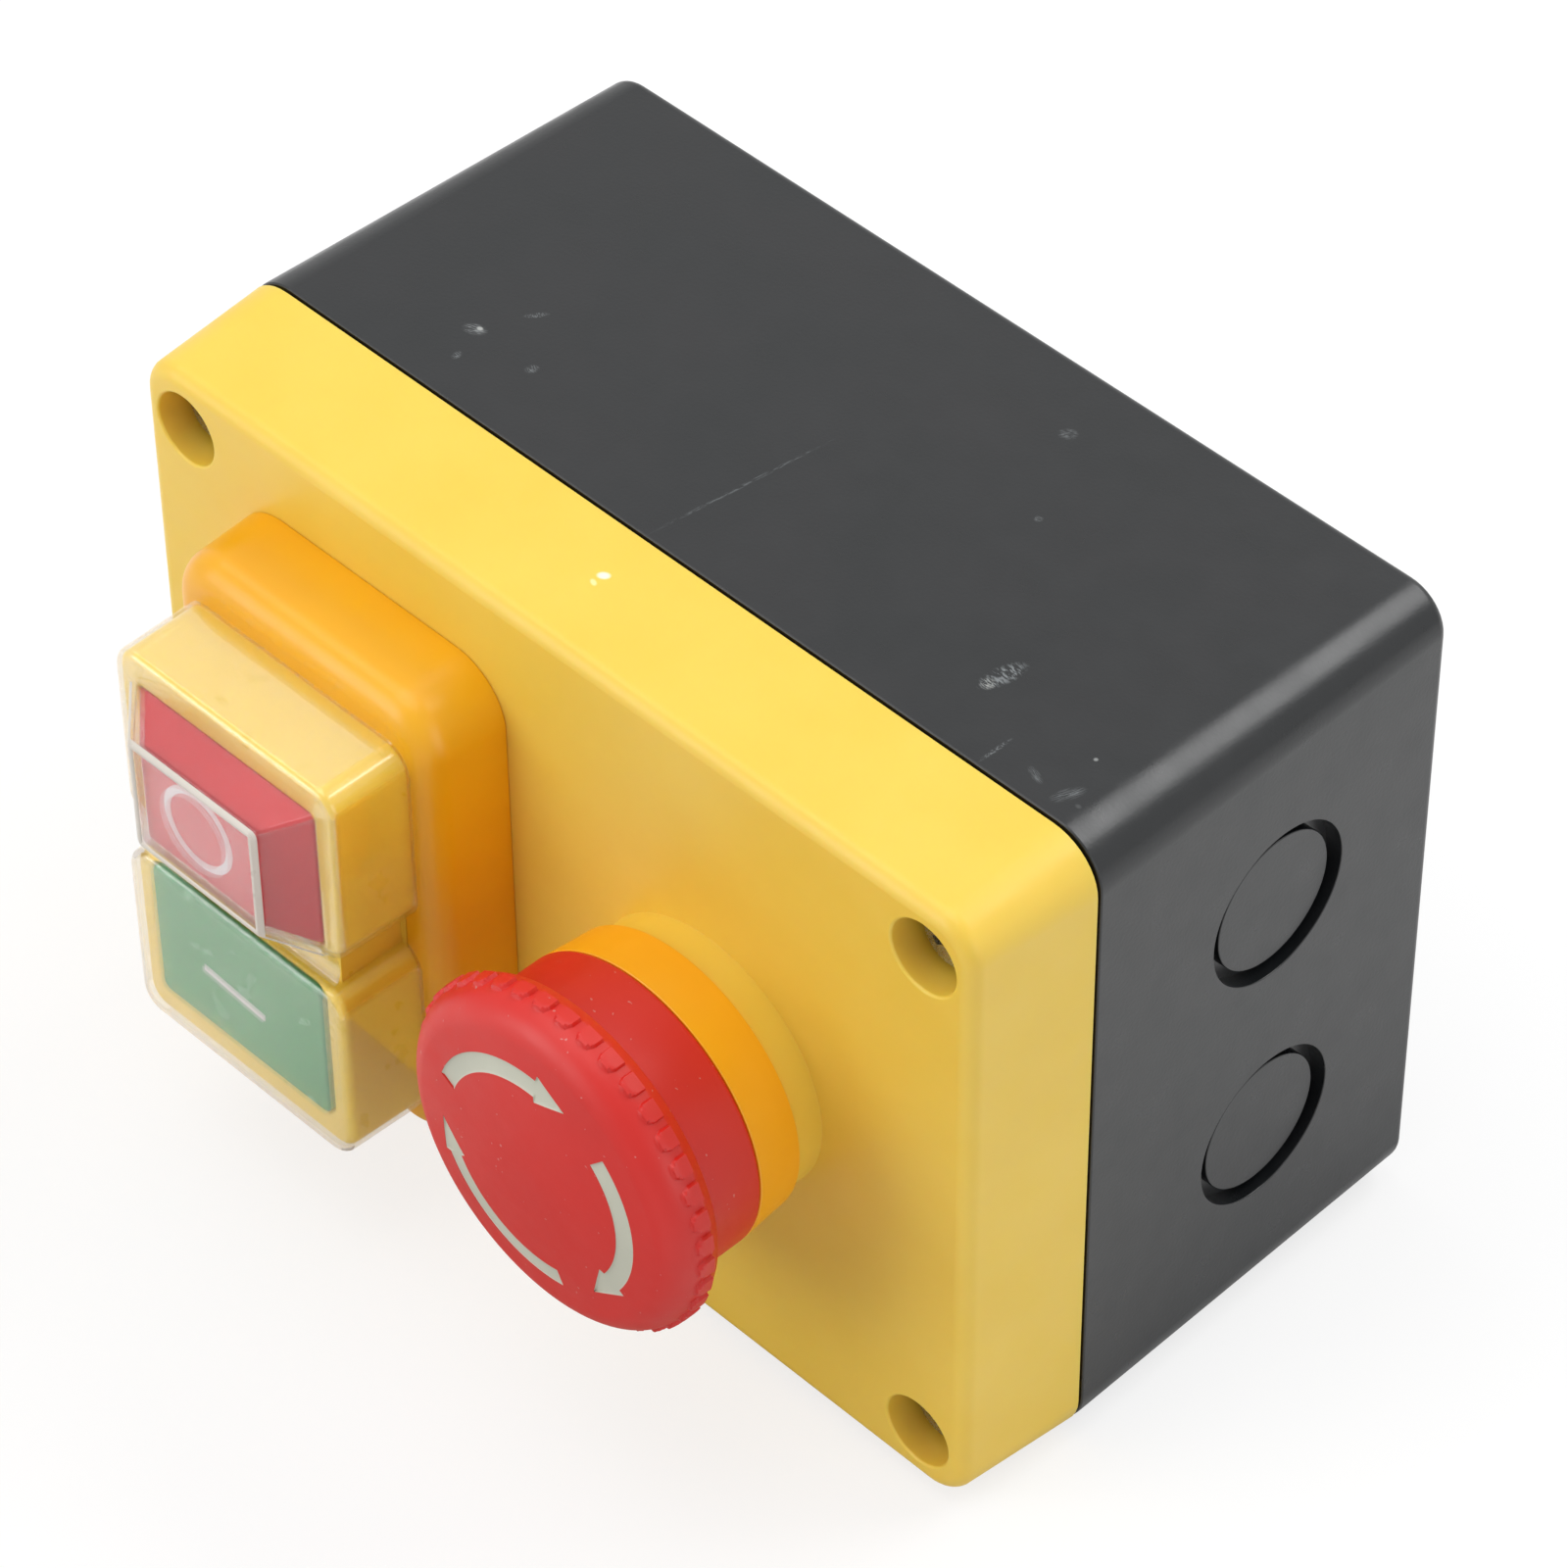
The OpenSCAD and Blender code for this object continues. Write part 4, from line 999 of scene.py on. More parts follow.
    def screw(self, name: str, place: Flat) -> bpy.types.Object:
        """Make one pan head lid screw with its cross recess.

        Args:
            name: the screw's name.
            place: X and Y of its axis.

        Returns:
            The screw in the panel's frame.
        """
        seat, top, edge = self.screw_seat, self.screw_top, self.screw_head_edge
        end, shank = seat - self.screw_len, self.screw_r - self.screw_slack
        point_in, point_h = self.screw_point
        profile = [(0.0, end), (shank - point_in, end), (shank, end + point_h), (shank, seat)]
        profile.append((self.screw_head_r, seat))
        profile += arc_points(self.screw_head_r - edge, top - edge, edge, 0, self.crown_deg)
        profile += [(self.screw_head_r * self.crown_share, top - self.crown_drop), (0.0, top)]
        body = revolve(name, profile, 40, *place)
        foot = Section(*self.cross_foot, self.cross_r, top - self.recess_depth)
        mouth = Section(*self.cross_mouth, self.cross_r, top + self.cross_over)
        arms = []
        for turn in self.cross_deg:
            arm = loft("arm", [foot, mouth], 2)
            arm.data.transform(Matrix.Translation((*place, 0)) @ Matrix.Rotation(math.radians(turn), 4, "Z"))
            arms.append(arm)
        return combine(body, arms, Join.CUT)


@dataclass
class StartStopSwitch:
    """The amber collar, the straw frame, the two buttons and the clear cover over them."""

    collar_r: float = 7.5
    collar_edge_r: float = 3.6
    collar_draft: float = 0.4
    collar_wall: float = 3.9
    collar_roof: float = 2.6
    collar_foot_r: float = 0.2
    collar_inner_edge_r: float = 1.0
    hole_step: float = 1.1
    hole_r: float = 1.5
    frame_r: float = 3.0
    frame_edge_r: float = 0.9
    frame_draft: float = 0.2
    frame_foot_r: float = 0.15
    tube_step: float = 1.2
    tube_r: float = 1.4
    tube_lap: float = 0.1
    pocket_lip: float = 0.35
    pocket_floor: float = 2.0
    tower_gap: float = 5.2
    snug: float = 0.6
    bridge_w: float = 30.0
    bridge_drop: float = 1.6
    bridge_r: float = 0.5
    button_gap: float = 0.25
    button_depth: float = 8.0
    button_edge_r: float = 0.3
    stop_corner_r: float = 0.6
    stop_face_corner_r: float = 0.5
    stop_edge_power: float = 1.6
    stop_stem_r: float = 2.9
    shelf_low: float = 0.15
    shelf_high: float = 0.05
    shelf_in: float = 0.08
    start_corner_r: float = 1.3
    start_edge_r: float = 0.45
    start_stem_r: float = 3.0
    slope_x: float = 4.5
    slope_y: float = 2.5
    start_lift: float = 0.4
    start_trim: float = 0.3
    cover_gap: float = 0.05
    film: float = 0.45
    cover_edge_r: float = 1.2
    cover_lift: float = 0.02
    pyramid_out: float = 1.1
    pyramid_spread: float = 0.65
    pyramid_step: Point = (0.15, 0.1, 0.12)
    pyramid_crown: tuple[Flat, ...] = ((0.94, 0.0), (0.985, 0.03), (1.0, 0.2))
    fold_r: float = 0.9
    bead_w: float = 0.9
    bead_h: float = 0.16
    fold_depth: float = 0.3
    fold_foot: float = 0.1
    fold_reach: float = 1.0
    fold_lean: float = 0.25
    web_t: float = 0.45
    web_short: float = 1.6
    web_drop: float = 0.2
    web_sag: float = 0.5
    web_lap: float = 0.02
    ring_r: float = 5.6
    ring_w: float = 1.05
    ring_shift: Flat = (-0.6, 0.3)
    bar_len: float = 10.2
    bar_w: float = 1.05
    bar_r: float = 0.1
    bar_shift: Flat = (-1.1, -1.0)
    bar_turn_deg: float = -5.0
    ink_t: float = 0.04

    def build(self) -> None:
        """Make every piece of the switch."""
        self.collar = PanelBox.of("switch_collar")
        self.frame = PanelBox.of("switch_frame")
        self.stop = PanelBox.of("stop_button")
        self.start = PanelBox.of("start_button")
        self.x = self.collar.centre[0]
        self.rim_z = {Tower.STOP: self.frame.z1, Tower.START: self.frame.z1 + self.start_lift}
        self.tower_half_h = (self.frame.half[1] * 2 - self.tower_gap) / 4 + self.snug / 2
        self.tower_y = (self.frame.half[1] * 2 + self.tower_gap) / 4 + self.snug / 2
        self.cover_out = self.cover_gap + self.film
        start_cover_z = self.start.z1 + self.pyramid_out
        self.cover_z = {Tower.STOP: self.frame.z1 + self.cover_out, Tower.START: start_cover_z}
        self.start_z = start_cover_z - self.cover_out - self.ink_t
        trim = self.start_trim
        x, y = self.start.centre
        half_w, half_h = self.start.half
        floor = self.frame.z1 - self.button_depth
        self.stop_cap = Section(*self.stop.half, self.stop_corner_r, floor, *self.stop.centre)
        self.start_cap = Section(half_w - trim, half_h, self.start_corner_r, floor, x, y + trim)
        self.build_collar()
        self.build_frame()
        self.build_buttons()
        self.build_symbols()
        self.build_cover()
        self.build_web()

    def build_collar(self) -> None:
        """Make the amber collar, open at the back and round the frame's tube."""
        half_w, half_h = self.collar.half
        low, high, wall = self.collar.z0, self.collar.z1, self.collar_wall
        foot = Section(half_w, half_h, self.collar_r, low, self.x)
        draft, edge, depth = self.collar_draft, self.collar_edge_r, high - low
        outside = wall_sections(foot, edge_profile(depth, draft, edge, 14, self.collar_foot_r))
        profile = edge_profile(depth - self.collar_roof, draft, self.collar_inner_edge_r)
        inside = wall_sections(foot.inset(wall, low), profile)
        collar = loft("switch_collar", inside[::-1] + outside, 14)
        half_w, half_h = (size - self.hole_step for size in self.frame.half)
        hole = Section(half_w, half_h, self.hole_r, low + OVERRUN, self.x)
        combine(collar, [loft("hole", [hole, hole.inset(0, high + OVERRUN)])], Join.CUT)
        dress(collar, Wear(AMBER_ABS, "amber_abs"), Body.ENCLOSURE, "switch_collar")

    def build_frame(self) -> None:
        """Make the straw frame: two towers and a bridge on a tube, with a pocket for each button."""
        low = self.collar.z1
        half_w, half_h = (size - self.tube_step for size in self.frame.half)
        tube = Section(half_w, half_h, self.tube_r, self.frame.z0, self.x)
        body = loft("switch_frame", [tube, tube.inset(0, low + self.tube_lap)])
        half_w, half_h = self.bridge_w / 2, self.tower_gap / 2 + OVERRUN
        bridge = Section(half_w, half_h, self.bridge_r, low - OVERRUN, self.x)
        towers = [loft("bridge", [bridge, bridge.inset(0, self.frame.z1 - self.bridge_drop)], 3)]
        for tower, rim in self.rim_z.items():
            profile = edge_profile(rim - low, self.frame_draft, self.frame_edge_r, 10, self.frame_foot_r)
            towers.append(loft("tower", wall_sections(self.tower_foot(tower, 0), profile), 12))
        combine(body, towers, Join.ADD)
        stop_pocket = self.pocket(self.stop_cap, self.rim_z[Tower.STOP])
        start_pocket = self.pocket(self.start_cap, self.rim_z[Tower.START])
        combine(body, [stop_pocket, start_pocket], Join.CUT)
        dress(body, Wear(STRAW_ABS, "pale_yellow_abs"), Body.ENCLOSURE, "switch_frame")

    def tower_foot(self, tower: Tower, grow: float) -> Section:
        """Outline at the collar of a tower, or of a skin that stands off it.

        Args:
            tower: the tower.
            grow: how far the outline stands off the tower.

        Returns:
            The rectangle.
        """
        half_w, half_h = self.frame.half[0] + self.snug + grow, self.tower_half_h + grow
        y = tower.value * self.tower_y
        return Section(half_w, half_h, self.frame_r + grow, self.collar.z1, self.x, y)

    def pocket(self, cap: Section, rim: float) -> bpy.types.Object:
        """Make the cutter of a button's pocket, with a rounded mouth.

        Args:
            cap: the button's outline.
            rim: level of the tower's front.

        Returns:
            The cutter.
        """
        lip, steps = self.pocket_lip, 5
        sections = [cap.inset(-self.button_gap, self.frame.z0 + self.pocket_floor)]
        for k in range(steps + 1):
            turn = math.pi / 2 * k / steps
            grow, level = lip * (1 - math.cos(turn)), rim - lip * (1 - math.sin(turn))
            sections.append(sections[0].inset(-grow, level))
        sections.append(sections[-1].inset(0, rim + OVERRUN))
        return loft("pocket", sections, 6)

    def build_buttons(self) -> None:
        """Make the red pyramid and the green flat button, each a cap on its stem."""
        x, y = self.stop.centre
        half_w, half_h = self.stop.half
        cap, rim = self.stop_cap, self.frame.z1
        edge, rise, steps = self.button_edge_r, self.stop.z1 - rim, 4
        sections = [cap, cap.inset(0, rim - self.shelf_low), cap.inset(self.shelf_in, rim + self.shelf_high)]
        for k in range(steps + 1):
            left = 1 - k / steps
            shrink = edge * (1 - left) ** 2
            w = half_w - self.slope_x * (1 - edge / rise * left) - shrink
            h = half_h - self.slope_y * (1 - edge / rise * left) - shrink
            level = self.stop.z1 - edge * left**self.stop_edge_power
            sections.append(Section(w, h, self.stop_face_corner_r, level, x, y))
        stop = loft("stop_button", sections, 4)
        stem_top = cap.z + OVERRUN
        stem = peg(self.stop_stem_r, PanelBox.of("stop_bridge").z0, stem_top, (x, y), 32)
        combine(stop, [stem], Join.ADD)
        wear = Wear(RED_POLYCARBONATE, "red_plastic", crease_deg=20)
        dress(stop, wear, Body.STOP, "stop_button")
        x, y = self.start.centre
        profile = edge_profile(self.start_z - cap.z, 0.0, self.start_edge_r, 6)
        start = loft("start_button", wall_sections(self.start_cap, profile), 8)
        combine(start, [peg(self.start_stem_r, self.start.z0, stem_top, (x, y), 32)], Join.ADD)
        dress(start, Wear(GREEN_POLYCARBONATE, "green_plastic"), Body.START, "start_button")

    def build_symbols(self) -> None:
        """Print the off ring and the on bar on the two faces."""
        x, y = (c + shift for c, shift in zip(self.stop.centre, self.ring_shift))
        low, high = self.stop.z1 - self.ink_t, self.stop.z1 + self.ink_t
        inner, outer = self.ring_r - self.ring_w, self.ring_r
        profile = [(inner, low), (outer, low), (outer, high), (inner, high)]
        ring = revolve("stop_ring_symbol", profile, 96, x, y)
        dress(ring, Wear(PRINT_INK, "red_plastic"), Body.STOP)
        x, y = (c + shift for c, shift in zip(self.start.centre, self.bar_shift))
        bar = Section(self.bar_len / 2, self.bar_w / 2, self.bar_r, self.start_z - self.ink_t)
        symbol = loft("start_bar_symbol", [bar, bar.inset(0, self.start_z + self.ink_t)], 3)
        turn = Matrix.Rotation(math.radians(self.bar_turn_deg), 4, "Z")
        symbol.data.transform(Matrix.Translation((x, y, 0)) @ turn)
        dress(symbol, Wear(PRINT_INK, "green_plastic"), Body.START)

    def build_cover(self) -> None:
        """Make the clear cover: a thin shell over each tower, with a pyramid over the stop button."""
        # The folds that on_fold picks get the milky finish, which is partly a painted highlight along the
        # edges
        wear = Wear(CLEAR_PVC, "clear_pvc", MILKY_PVC_AND_SHEEN, self.on_fold, crease_deg=40)
        foot_z = self.collar.z1 + self.cover_lift
        for tower, name in ((Tower.STOP, "cover_stop_shell"), (Tower.START, "cover_start_shell")):
            skins = []
            for depth in (self.film, 0.0):
                foot = self.tower_foot(tower, self.cover_out - depth).inset(0, foot_z)
                height, edge = self.cover_z[tower] - depth - foot.z, self.cover_edge_r - depth
                skin = wall_sections(foot, edge_profile(height, self.frame_draft, edge, 10))
                skins.append(skin + (self.pyramid(depth) if tower is Tower.STOP else []))
            dress(loft(name, skins[0][::-1] + skins[1], 12), wear, Body.ENCLOSURE, "clear_cover")

    def pyramid(self, depth: float) -> list[Section]:
        """Sections that carry a skin from the flat rim up over the stop button.

        Args:
            depth: how far the skin lies under the cover's outside.

        Returns:
            The sections from the pyramid's foot to its face, and on the outside its raised border.
        """
        x, y = self.stop.centre
        grow = self.pyramid_out - depth
        foot_w, foot_h = self.stop.half[0] + grow, self.stop.half[1] + grow
        face_w, face_h = self.pyramid_face(grow)
        radius = self.fold_r - depth
        foot_z, face_z = self.cover_z[Tower.STOP] - depth, self.stop.z1 + grow
        sections = [Section(foot_w, foot_h, radius, foot_z, x, y)]
        in_w, in_h, up = self.pyramid_step
        sections.append(Section(foot_w - in_w, foot_h - in_h, radius, foot_z + up, x, y))
        for share, drawn_in in self.pyramid_crown:
            w = face_w + self.slope_x * (1 - share) - drawn_in
            h = face_h + self.slope_y * (1 - share) - drawn_in
            sections.append(Section(w, h, radius, foot_z + (face_z - foot_z) * share, x, y))
        if depth > 0:
            return sections
        face = Section(face_w, face_h, radius, face_z, x, y)
        width = self.bead_w
        bead = ((0.3, 0.7), (0.45, 1.0), (width - 0.25, 1.0), (width - 0.1, 0.6), (width, 0.0))
        return sections + [face.inset(inset, face_z + self.bead_h * rise) for inset, rise in bead]

    def pyramid_face(self, grow: float) -> Flat:
        """Half the width and height of the pyramid's face, on a skin that stands off the button by grow."""
        spread = self.pyramid_spread * grow
        return self.stop.half[0] - self.slope_x + spread, self.stop.half[1] - self.slope_y + spread

    def on_fold(self, centre: Vector, normal: Vector) -> bool:
        """Tell whether a face of the cover's skin lies on a milky fold.

        Args:
            centre: the face's middle in the panel's frame.
            normal: its direction.

        Returns:
            True on the raised border of the pyramid's face and on two of its slanted edges, which get the
            milky finish that is partly a painted highlight.
        """
        x, y = self.stop.centre
        away_x, away_y = centre.x - x, centre.y - y
        face_z = self.stop.z1 + self.pyramid_out
        face_w, face_h = self.pyramid_face(self.pyramid_out)
        if centre.z > face_z - self.fold_depth:
            return abs(away_x) > face_w - self.bead_w or abs(away_y) > face_h - self.bead_w
        foot_z = self.cover_z[Tower.STOP] + self.fold_foot
        if centre.z < foot_z or abs(away_x) < face_w - self.fold_reach:
            return False
        side = 1 if away_x > 0 else -1
        return normal.x * side > self.fold_lean and normal.y * side < -self.fold_lean

    def build_web(self) -> None:
        """Make the strip that joins the two shells across the gap between the towers."""
        reach = self.tower_gap / 2 - self.cover_out + self.web_lap
        half_w = self.frame.half[0] - self.web_short
        steps = 12
        rings = []
        for x in (self.x - half_w, self.x + half_w):
            under, over = [], []
            for k in range(steps + 1):
                y = reach * (2 * k / steps - 1)
                level = self.frame.z1 - self.web_drop - self.web_sag * math.sin(math.pi * k / steps)
                over.append((x, y, level))
                under.append((x, y, level - self.web_t))
            rings.append(over + under[::-1])
        dress(solid_through("cover_web", rings), Wear(CLEAR_PVC, "clear_pvc"), Body.ENCLOSURE)


@dataclass(frozen=True)
class ArrowSpan:
    """Where a release arrow starts, where its head begins and where it points, in degrees."""

    tail: float
    neck: float
    tip: float


@dataclass
class EmergencyStop:
    """The mushroom head with its grip pads and release arrows, its sleeve and the orange ring."""

    bore_r: float = 11.2
    ring_edge: float = 0.15
    ring_step: float = 0.5
    sleeve_edge_r: float = 0.5
    sleeve_mouth_r: float = 0.3
    sleeve_bore_r: float = 15.2
    sleeve_floor: float = 2.1
    head_gap: float = 0.7
    head_d: float = 43.4
    skirt_h: float = 1.4
    skirt_taper: float = 0.45
    skirt_edge: float = 0.2
    crease_h: float = 0.08
    shoulder_r: float = 4.0
    dome_rise: float = 1.3
    cavity_r: float = 19.05
    cavity_roof: float = 4.9
    neck_r: float = 8.0
    neck_lap: float = 0.5
    pad_count: int = 40
    pad_phase_deg: float = 6.0
    pad_half_w: float = 1.15
    pad_rise: float = 0.45
    pad_soft: float = 0.2
    pad_end_deg: float = 15.0
    arrow_inner: float = 12.7
    arrow_outer: float = 15.05
    barb_inner: float = 12.0
    barb_outer: float = 15.85
    tip_r: float = 14.4
    barb_lead_deg: float = 0.7
    arrow_depth: float = 0.5
    ink_lap: float = 0.05
    ink_edge: float = 0.05
    ink_sink: float = 0.24
    ink_creep: float = 0.32
    arrows: tuple[ArrowSpan, ...] = (
        ArrowSpan(161.0, 87.0, 68.6),
        ArrowSpan(44.2, -32.5, -52.8),
        ArrowSpan(-75.2, -153.5, -173.6),
    )

    def build(self) -> None:
        """Make the ring, the sleeve, the head and the arrows."""
        self.head = PanelBox.of("estop_head")
        self.sleeve = PanelBox.of("estop_sleeve")
        self.ring = PanelBox.of("estop_ring")
        self.x, self.y = self.sleeve.centre
        self.rim_r = self.head_d / 2 - self.pad_rise
        self.rear_z = self.sleeve.z1 + self.head_gap
        self.crease_z = self.rear_z + self.skirt_h
        self.shoulder_z = self.head.z1 - self.dome_rise - self.shoulder_r
        self.dome_half = self.rim_r - self.shoulder_r
        self.dome_r = (self.dome_half**2 + self.dome_rise**2) / (2 * self.dome_rise)
        self.build_ring()
        self.build_sleeve()
        self.build_head()
        self.build_arrows()

    def build_ring(self) -> None:
        """Make the orange ring with softly broken edges."""
        box, edge = self.ring, self.ring_edge
        outer = box.half[0]
        profile = [(self.bore_r, box.z0)]
        profile += arc_points(outer - self.ring_step - edge, box.z0 + edge, edge, 270, 360, 4)
        profile += arc_points(outer - edge, box.z1 - edge, edge, 0, 90, 4)
        profile += [(self.bore_r, box.z1)]
        ring = revolve("estop_ring", profile, 160, self.x, self.y)
        dress(ring, Wear(ORANGE_ABS, "orange_plastic"), Body.ENCLOSURE, "estop_ring")

    def build_sleeve(self) -> None:
        """Make the red sleeve, a cup whose rear edge is rounded in to the ring."""
        box, edge = self.sleeve, self.sleeve_edge_r
        outer, floor_z = box.half[0], box.z0 + self.sleeve_floor
        profile = [(self.bore_r, box.z0)]
        profile += arc_points(outer - edge, box.z0 + edge, edge, 270, 360, 8)
        mouth = self.sleeve_mouth_r
        profile += arc_points(outer - mouth, box.z1 - mouth, mouth, 0, 90, 4)
        profile += [(self.sleeve_bore_r, box.z1), (self.sleeve_bore_r, floor_z), (self.bore_r, floor_z)]
        sleeve = revolve("estop_sleeve", profile, 160, self.x, self.y)
        dress(sleeve, Wear(RED_NYLON, "red_plastic"), Body.ENCLOSURE, "estop_sleeve")

    def dome_level(self, reach: float) -> float:
        """Level of the domed face at a distance from the axis."""
        return self.head.z1 - self.dome_r + math.sqrt(self.dome_r**2 - reach**2)

    def outline(self) -> list[tuple[float, float, float]]:
        """Outside of the head from its rear edge to the middle of its face.

        Returns:
            Radius, level and slope of the normal in degrees at each station.
        """
        rim, skirt = self.rim_r, self.rim_r - self.skirt_taper
        edge = self.skirt_edge
        stations = [(skirt - edge, self.rear_z, 0.0), (skirt, self.rear_z + edge, 0.0)]
        stations += [(rim, self.crease_z, 0.0), (rim, self.crease_z + self.crease_h, 0.0)]
        wall = self.shoulder_z - self.crease_z
        stations += [(rim, self.crease_z + wall * share, 0.0) for share in (0.4, 0.6, 0.7, 0.8, 0.9)]
        top = 90 - math.degrees(math.asin(self.dome_half / self.dome_r))
        # Fine steps to a little past the pads, and coarser ones on to the dome
        fine_step, coarse_start, steps = 1.7, 24, 14
        turns = [fine_step * k for k in range(steps + 1)]
        turns += [coarse_start + (top - coarse_start) * k / steps for k in range(1, steps + 1)]
        for turn in turns:
            reach, level = arc_points(self.dome_half, self.shoulder_z, self.shoulder_r, turn, turn, 1)[0]
            stations.append((reach, level, turn))
        last = stations[-1][0]
        shares = (0.93, 0.86, 0.78, 0.7, 0.6, 0.5, 0.4, 0.3, 0.2, 0.1, 0.05)
        return stations + [(last * share, self.dome_level(last * share), 90.0) for share in shares]

    def pad_height(self, level: float, slope: float, across: float) -> float:
        """How far the surface stands out at a place on the rim.

        Args:
            level: level of the surface.
            slope: slope of its normal in degrees.
            across: distance from the nearest pad's middle line.

        Returns:
            The rise in millimetres, 0 between the pads.
        """
        if level < self.crease_z + self.crease_h / 2 or slope > 2 * self.pad_end_deg:
            return 0.0
        along = math.radians(slope - self.pad_end_deg) * self.shoulder_r + self.pad_half_w
        if slope == 0.0:
            along += level - self.shoulder_z
        away = math.hypot(max(along, 0.0), across) - self.pad_half_w
        share = min(max(0.5 - away / self.pad_soft, 0.0), 1.0)
        return self.pad_rise * share * share * (3 - 2 * share)

    def build_head(self) -> None:
        """Make the mushroom head with its skirt, pads and recessed arrows."""
        pitch = math.tau * self.rim_r / self.pad_count
        half, soft = self.pad_half_w, self.pad_soft
        side = [half * 0.5] + [half + share * soft for share in (-1.1, -0.5, 0.0, 0.5, 1.1)]
        offsets = [-away for away in side[::-1]] + [0.0] + side + [pitch / 2]
        rings = []
        for reach, level, slope in self.outline():
            lean = math.radians(slope)
            ring = []
            for pad in range(self.pad_count):
                for across in offsets:
                    angle = (pad * pitch + across) / self.rim_r + math.radians(self.pad_phase_deg)
                    rise = self.pad_height(level, slope, across)
                    out = reach + rise * math.cos(lean)
                    place = (self.x + out * math.cos(angle), self.y + out * math.sin(angle))
                    ring.append((*place, level + rise * math.sin(lean)))
            rings.append(ring)
        head = solid_through("estop_head", rings)
        centre, roof = (self.x, self.y), self.sleeve.z1 + self.cavity_roof
        combine(head, [peg(self.cavity_r, self.rear_z - OVERRUN, roof, centre, 128)], Join.CUT)
        combine(head, [peg(self.neck_r, self.head.z0, roof + self.neck_lap, centre, 64)], Join.ADD)
        lines = ((0.0, -self.arrow_depth), (1.0, -self.arrow_depth), (1.0, OVERRUN), (0.0, OVERRUN))
        combine(head, [self.arrow("arrow_cut", span, lines) for span in self.arrows], Join.CUT)
        dress(head, Wear(RED_NYLON, "red_plastic", crease_deg=35), Body.ESTOP_HEAD, "estop_head")

    def build_arrows(self) -> None:
        """Fill the three arrows with white ink that creeps a little up the walls."""
        width = self.arrow_outer - self.arrow_inner
        creep = self.ink_creep / width
        floor = -self.arrow_depth - self.ink_lap
        lines = ((0.0, floor), (1.0, floor), (1.0, -self.ink_edge), (1 - creep, -self.ink_sink))
        lines += ((creep, -self.ink_sink), (0.0, -self.ink_edge))
        for number, span in enumerate(self.arrows, 1):
            ink = self.arrow(f"release_arrow_{number}", span, lines)
            dress(ink, Wear(WHITE_INK, "red_plastic", crease_deg=50), Body.ESTOP_HEAD)

    def arrow(self, name: str, span: ArrowSpan, lines: Sequence[Flat]) -> bpy.types.Object:
        """Make a curved arrow that follows the dome.

        Args:
            name: the object's name.
            span: the angles that it runs through.
            lines: cross-section, as pairs of a share of the way out and a height over the dome.

        Returns:
            The arrow in the panel's frame.
        """
        def spot(angle: float, reach: float) -> Vector:
            """Place on the face, from the axis."""
            return Vector((math.cos(math.radians(angle)), math.sin(math.radians(angle)))) * reach

        steps = 26
        edges = []
        for k in range(steps + 1):
            angle = span.tail + (span.neck - span.tail) * k / steps
            edges.append((spot(angle, self.arrow_inner), spot(angle, self.arrow_outer)))
        barb = span.neck - self.barb_lead_deg
        inner, outer = spot(barb, self.barb_inner), spot(barb, self.barb_outer)
        tip = spot(span.tip, self.tip_r)
        # The last ring stops just short of the tip, so that it keeps some width
        barb_steps, short_of_tip = 8, 0.1
        for k in range(barb_steps + 1):
            share = k / (barb_steps + short_of_tip)
            edges.append((inner.lerp(tip, share), outer.lerp(tip, share)))
        rings = []
        for inner, outer in edges:
            ring = []
            for share, height in lines:
                place = inner.lerp(outer, share)
                ring.append((self.x + place.x, self.y + place.y, self.dome_level(place.length) + height))
            rings.append(ring)
        return solid_through(name, rings)


@dataclass(frozen=True)
class Spring:
    """A compression spring: its CAD node, the joint that closes it, how far, and its wire."""

    node: str
    joint: str
    travel: float
    wire_r: float = 0.5
    turns: int = 5


@dataclass
class InnerWorks:
    """The gasket and what is inside the enclosure: CAD nodes that keep their shape, and the springs."""

    turn_steps: int = 24
    wire_steps: int = 10
    springs: tuple[Spring, ...] = (
        Spring("stop_spring", "stop_press", 3.0),
        Spring("start_spring", "start_press", 3.0),
        Spring("estop_spring", "estop_push", 4.5),
        Spring("contact_spring", "contact_slide", 4.5, 0.35, 4),
    )

    def coil(self, spring: Spring, box: PanelBox) -> bpy.types.Object:
        """Wind a spring between the two ends of its CAD node.

        Args:
            spring: the spring.
            box: extent of its CAD node.

        Returns:
            The coil in the panel's frame.
        """
        wire, (x, y) = spring.wire_r, box.centre
        mean_r, low = box.half[0] - wire, box.z0 + wire
        rise = box.z1 - box.z0 - 2 * wire
        count = spring.turns * self.turn_steps
        rings = []
        for k in range(count + 1):
            turn = math.tau * k / self.turn_steps
            ring = []
            for step in range(self.wire_steps):
                roll = math.tau * step / self.wire_steps
                out, level = mean_r + wire * math.cos(roll), low + rise * k / count + wire * math.sin(roll)
                ring.append((x + out * math.cos(turn), y + out * math.sin(turn), level))
            rings.append(ring)
        return solid_through(spring.node, rings)

    def build(self) -> None:
        """Give each node its finish, and wind a spring in place of each spring node."""
        for spring in self.springs:
            box = PanelBox.of(spring.node)
            wear = Wear(SPRING_STEEL, "spring_steel")
            coil = dress(self.coil(spring, box), wear, Body.ENCLOSURE, spring.node)
            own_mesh(coil)
        for finish, names in NODE_FINISHES.items():
            for name in names:
                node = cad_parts[name]
                node.data.materials.clear()
                node.data.materials.append(PALETTE.get(finish))
                LOG.info("%s: CAD node in %s", name, finish.name)


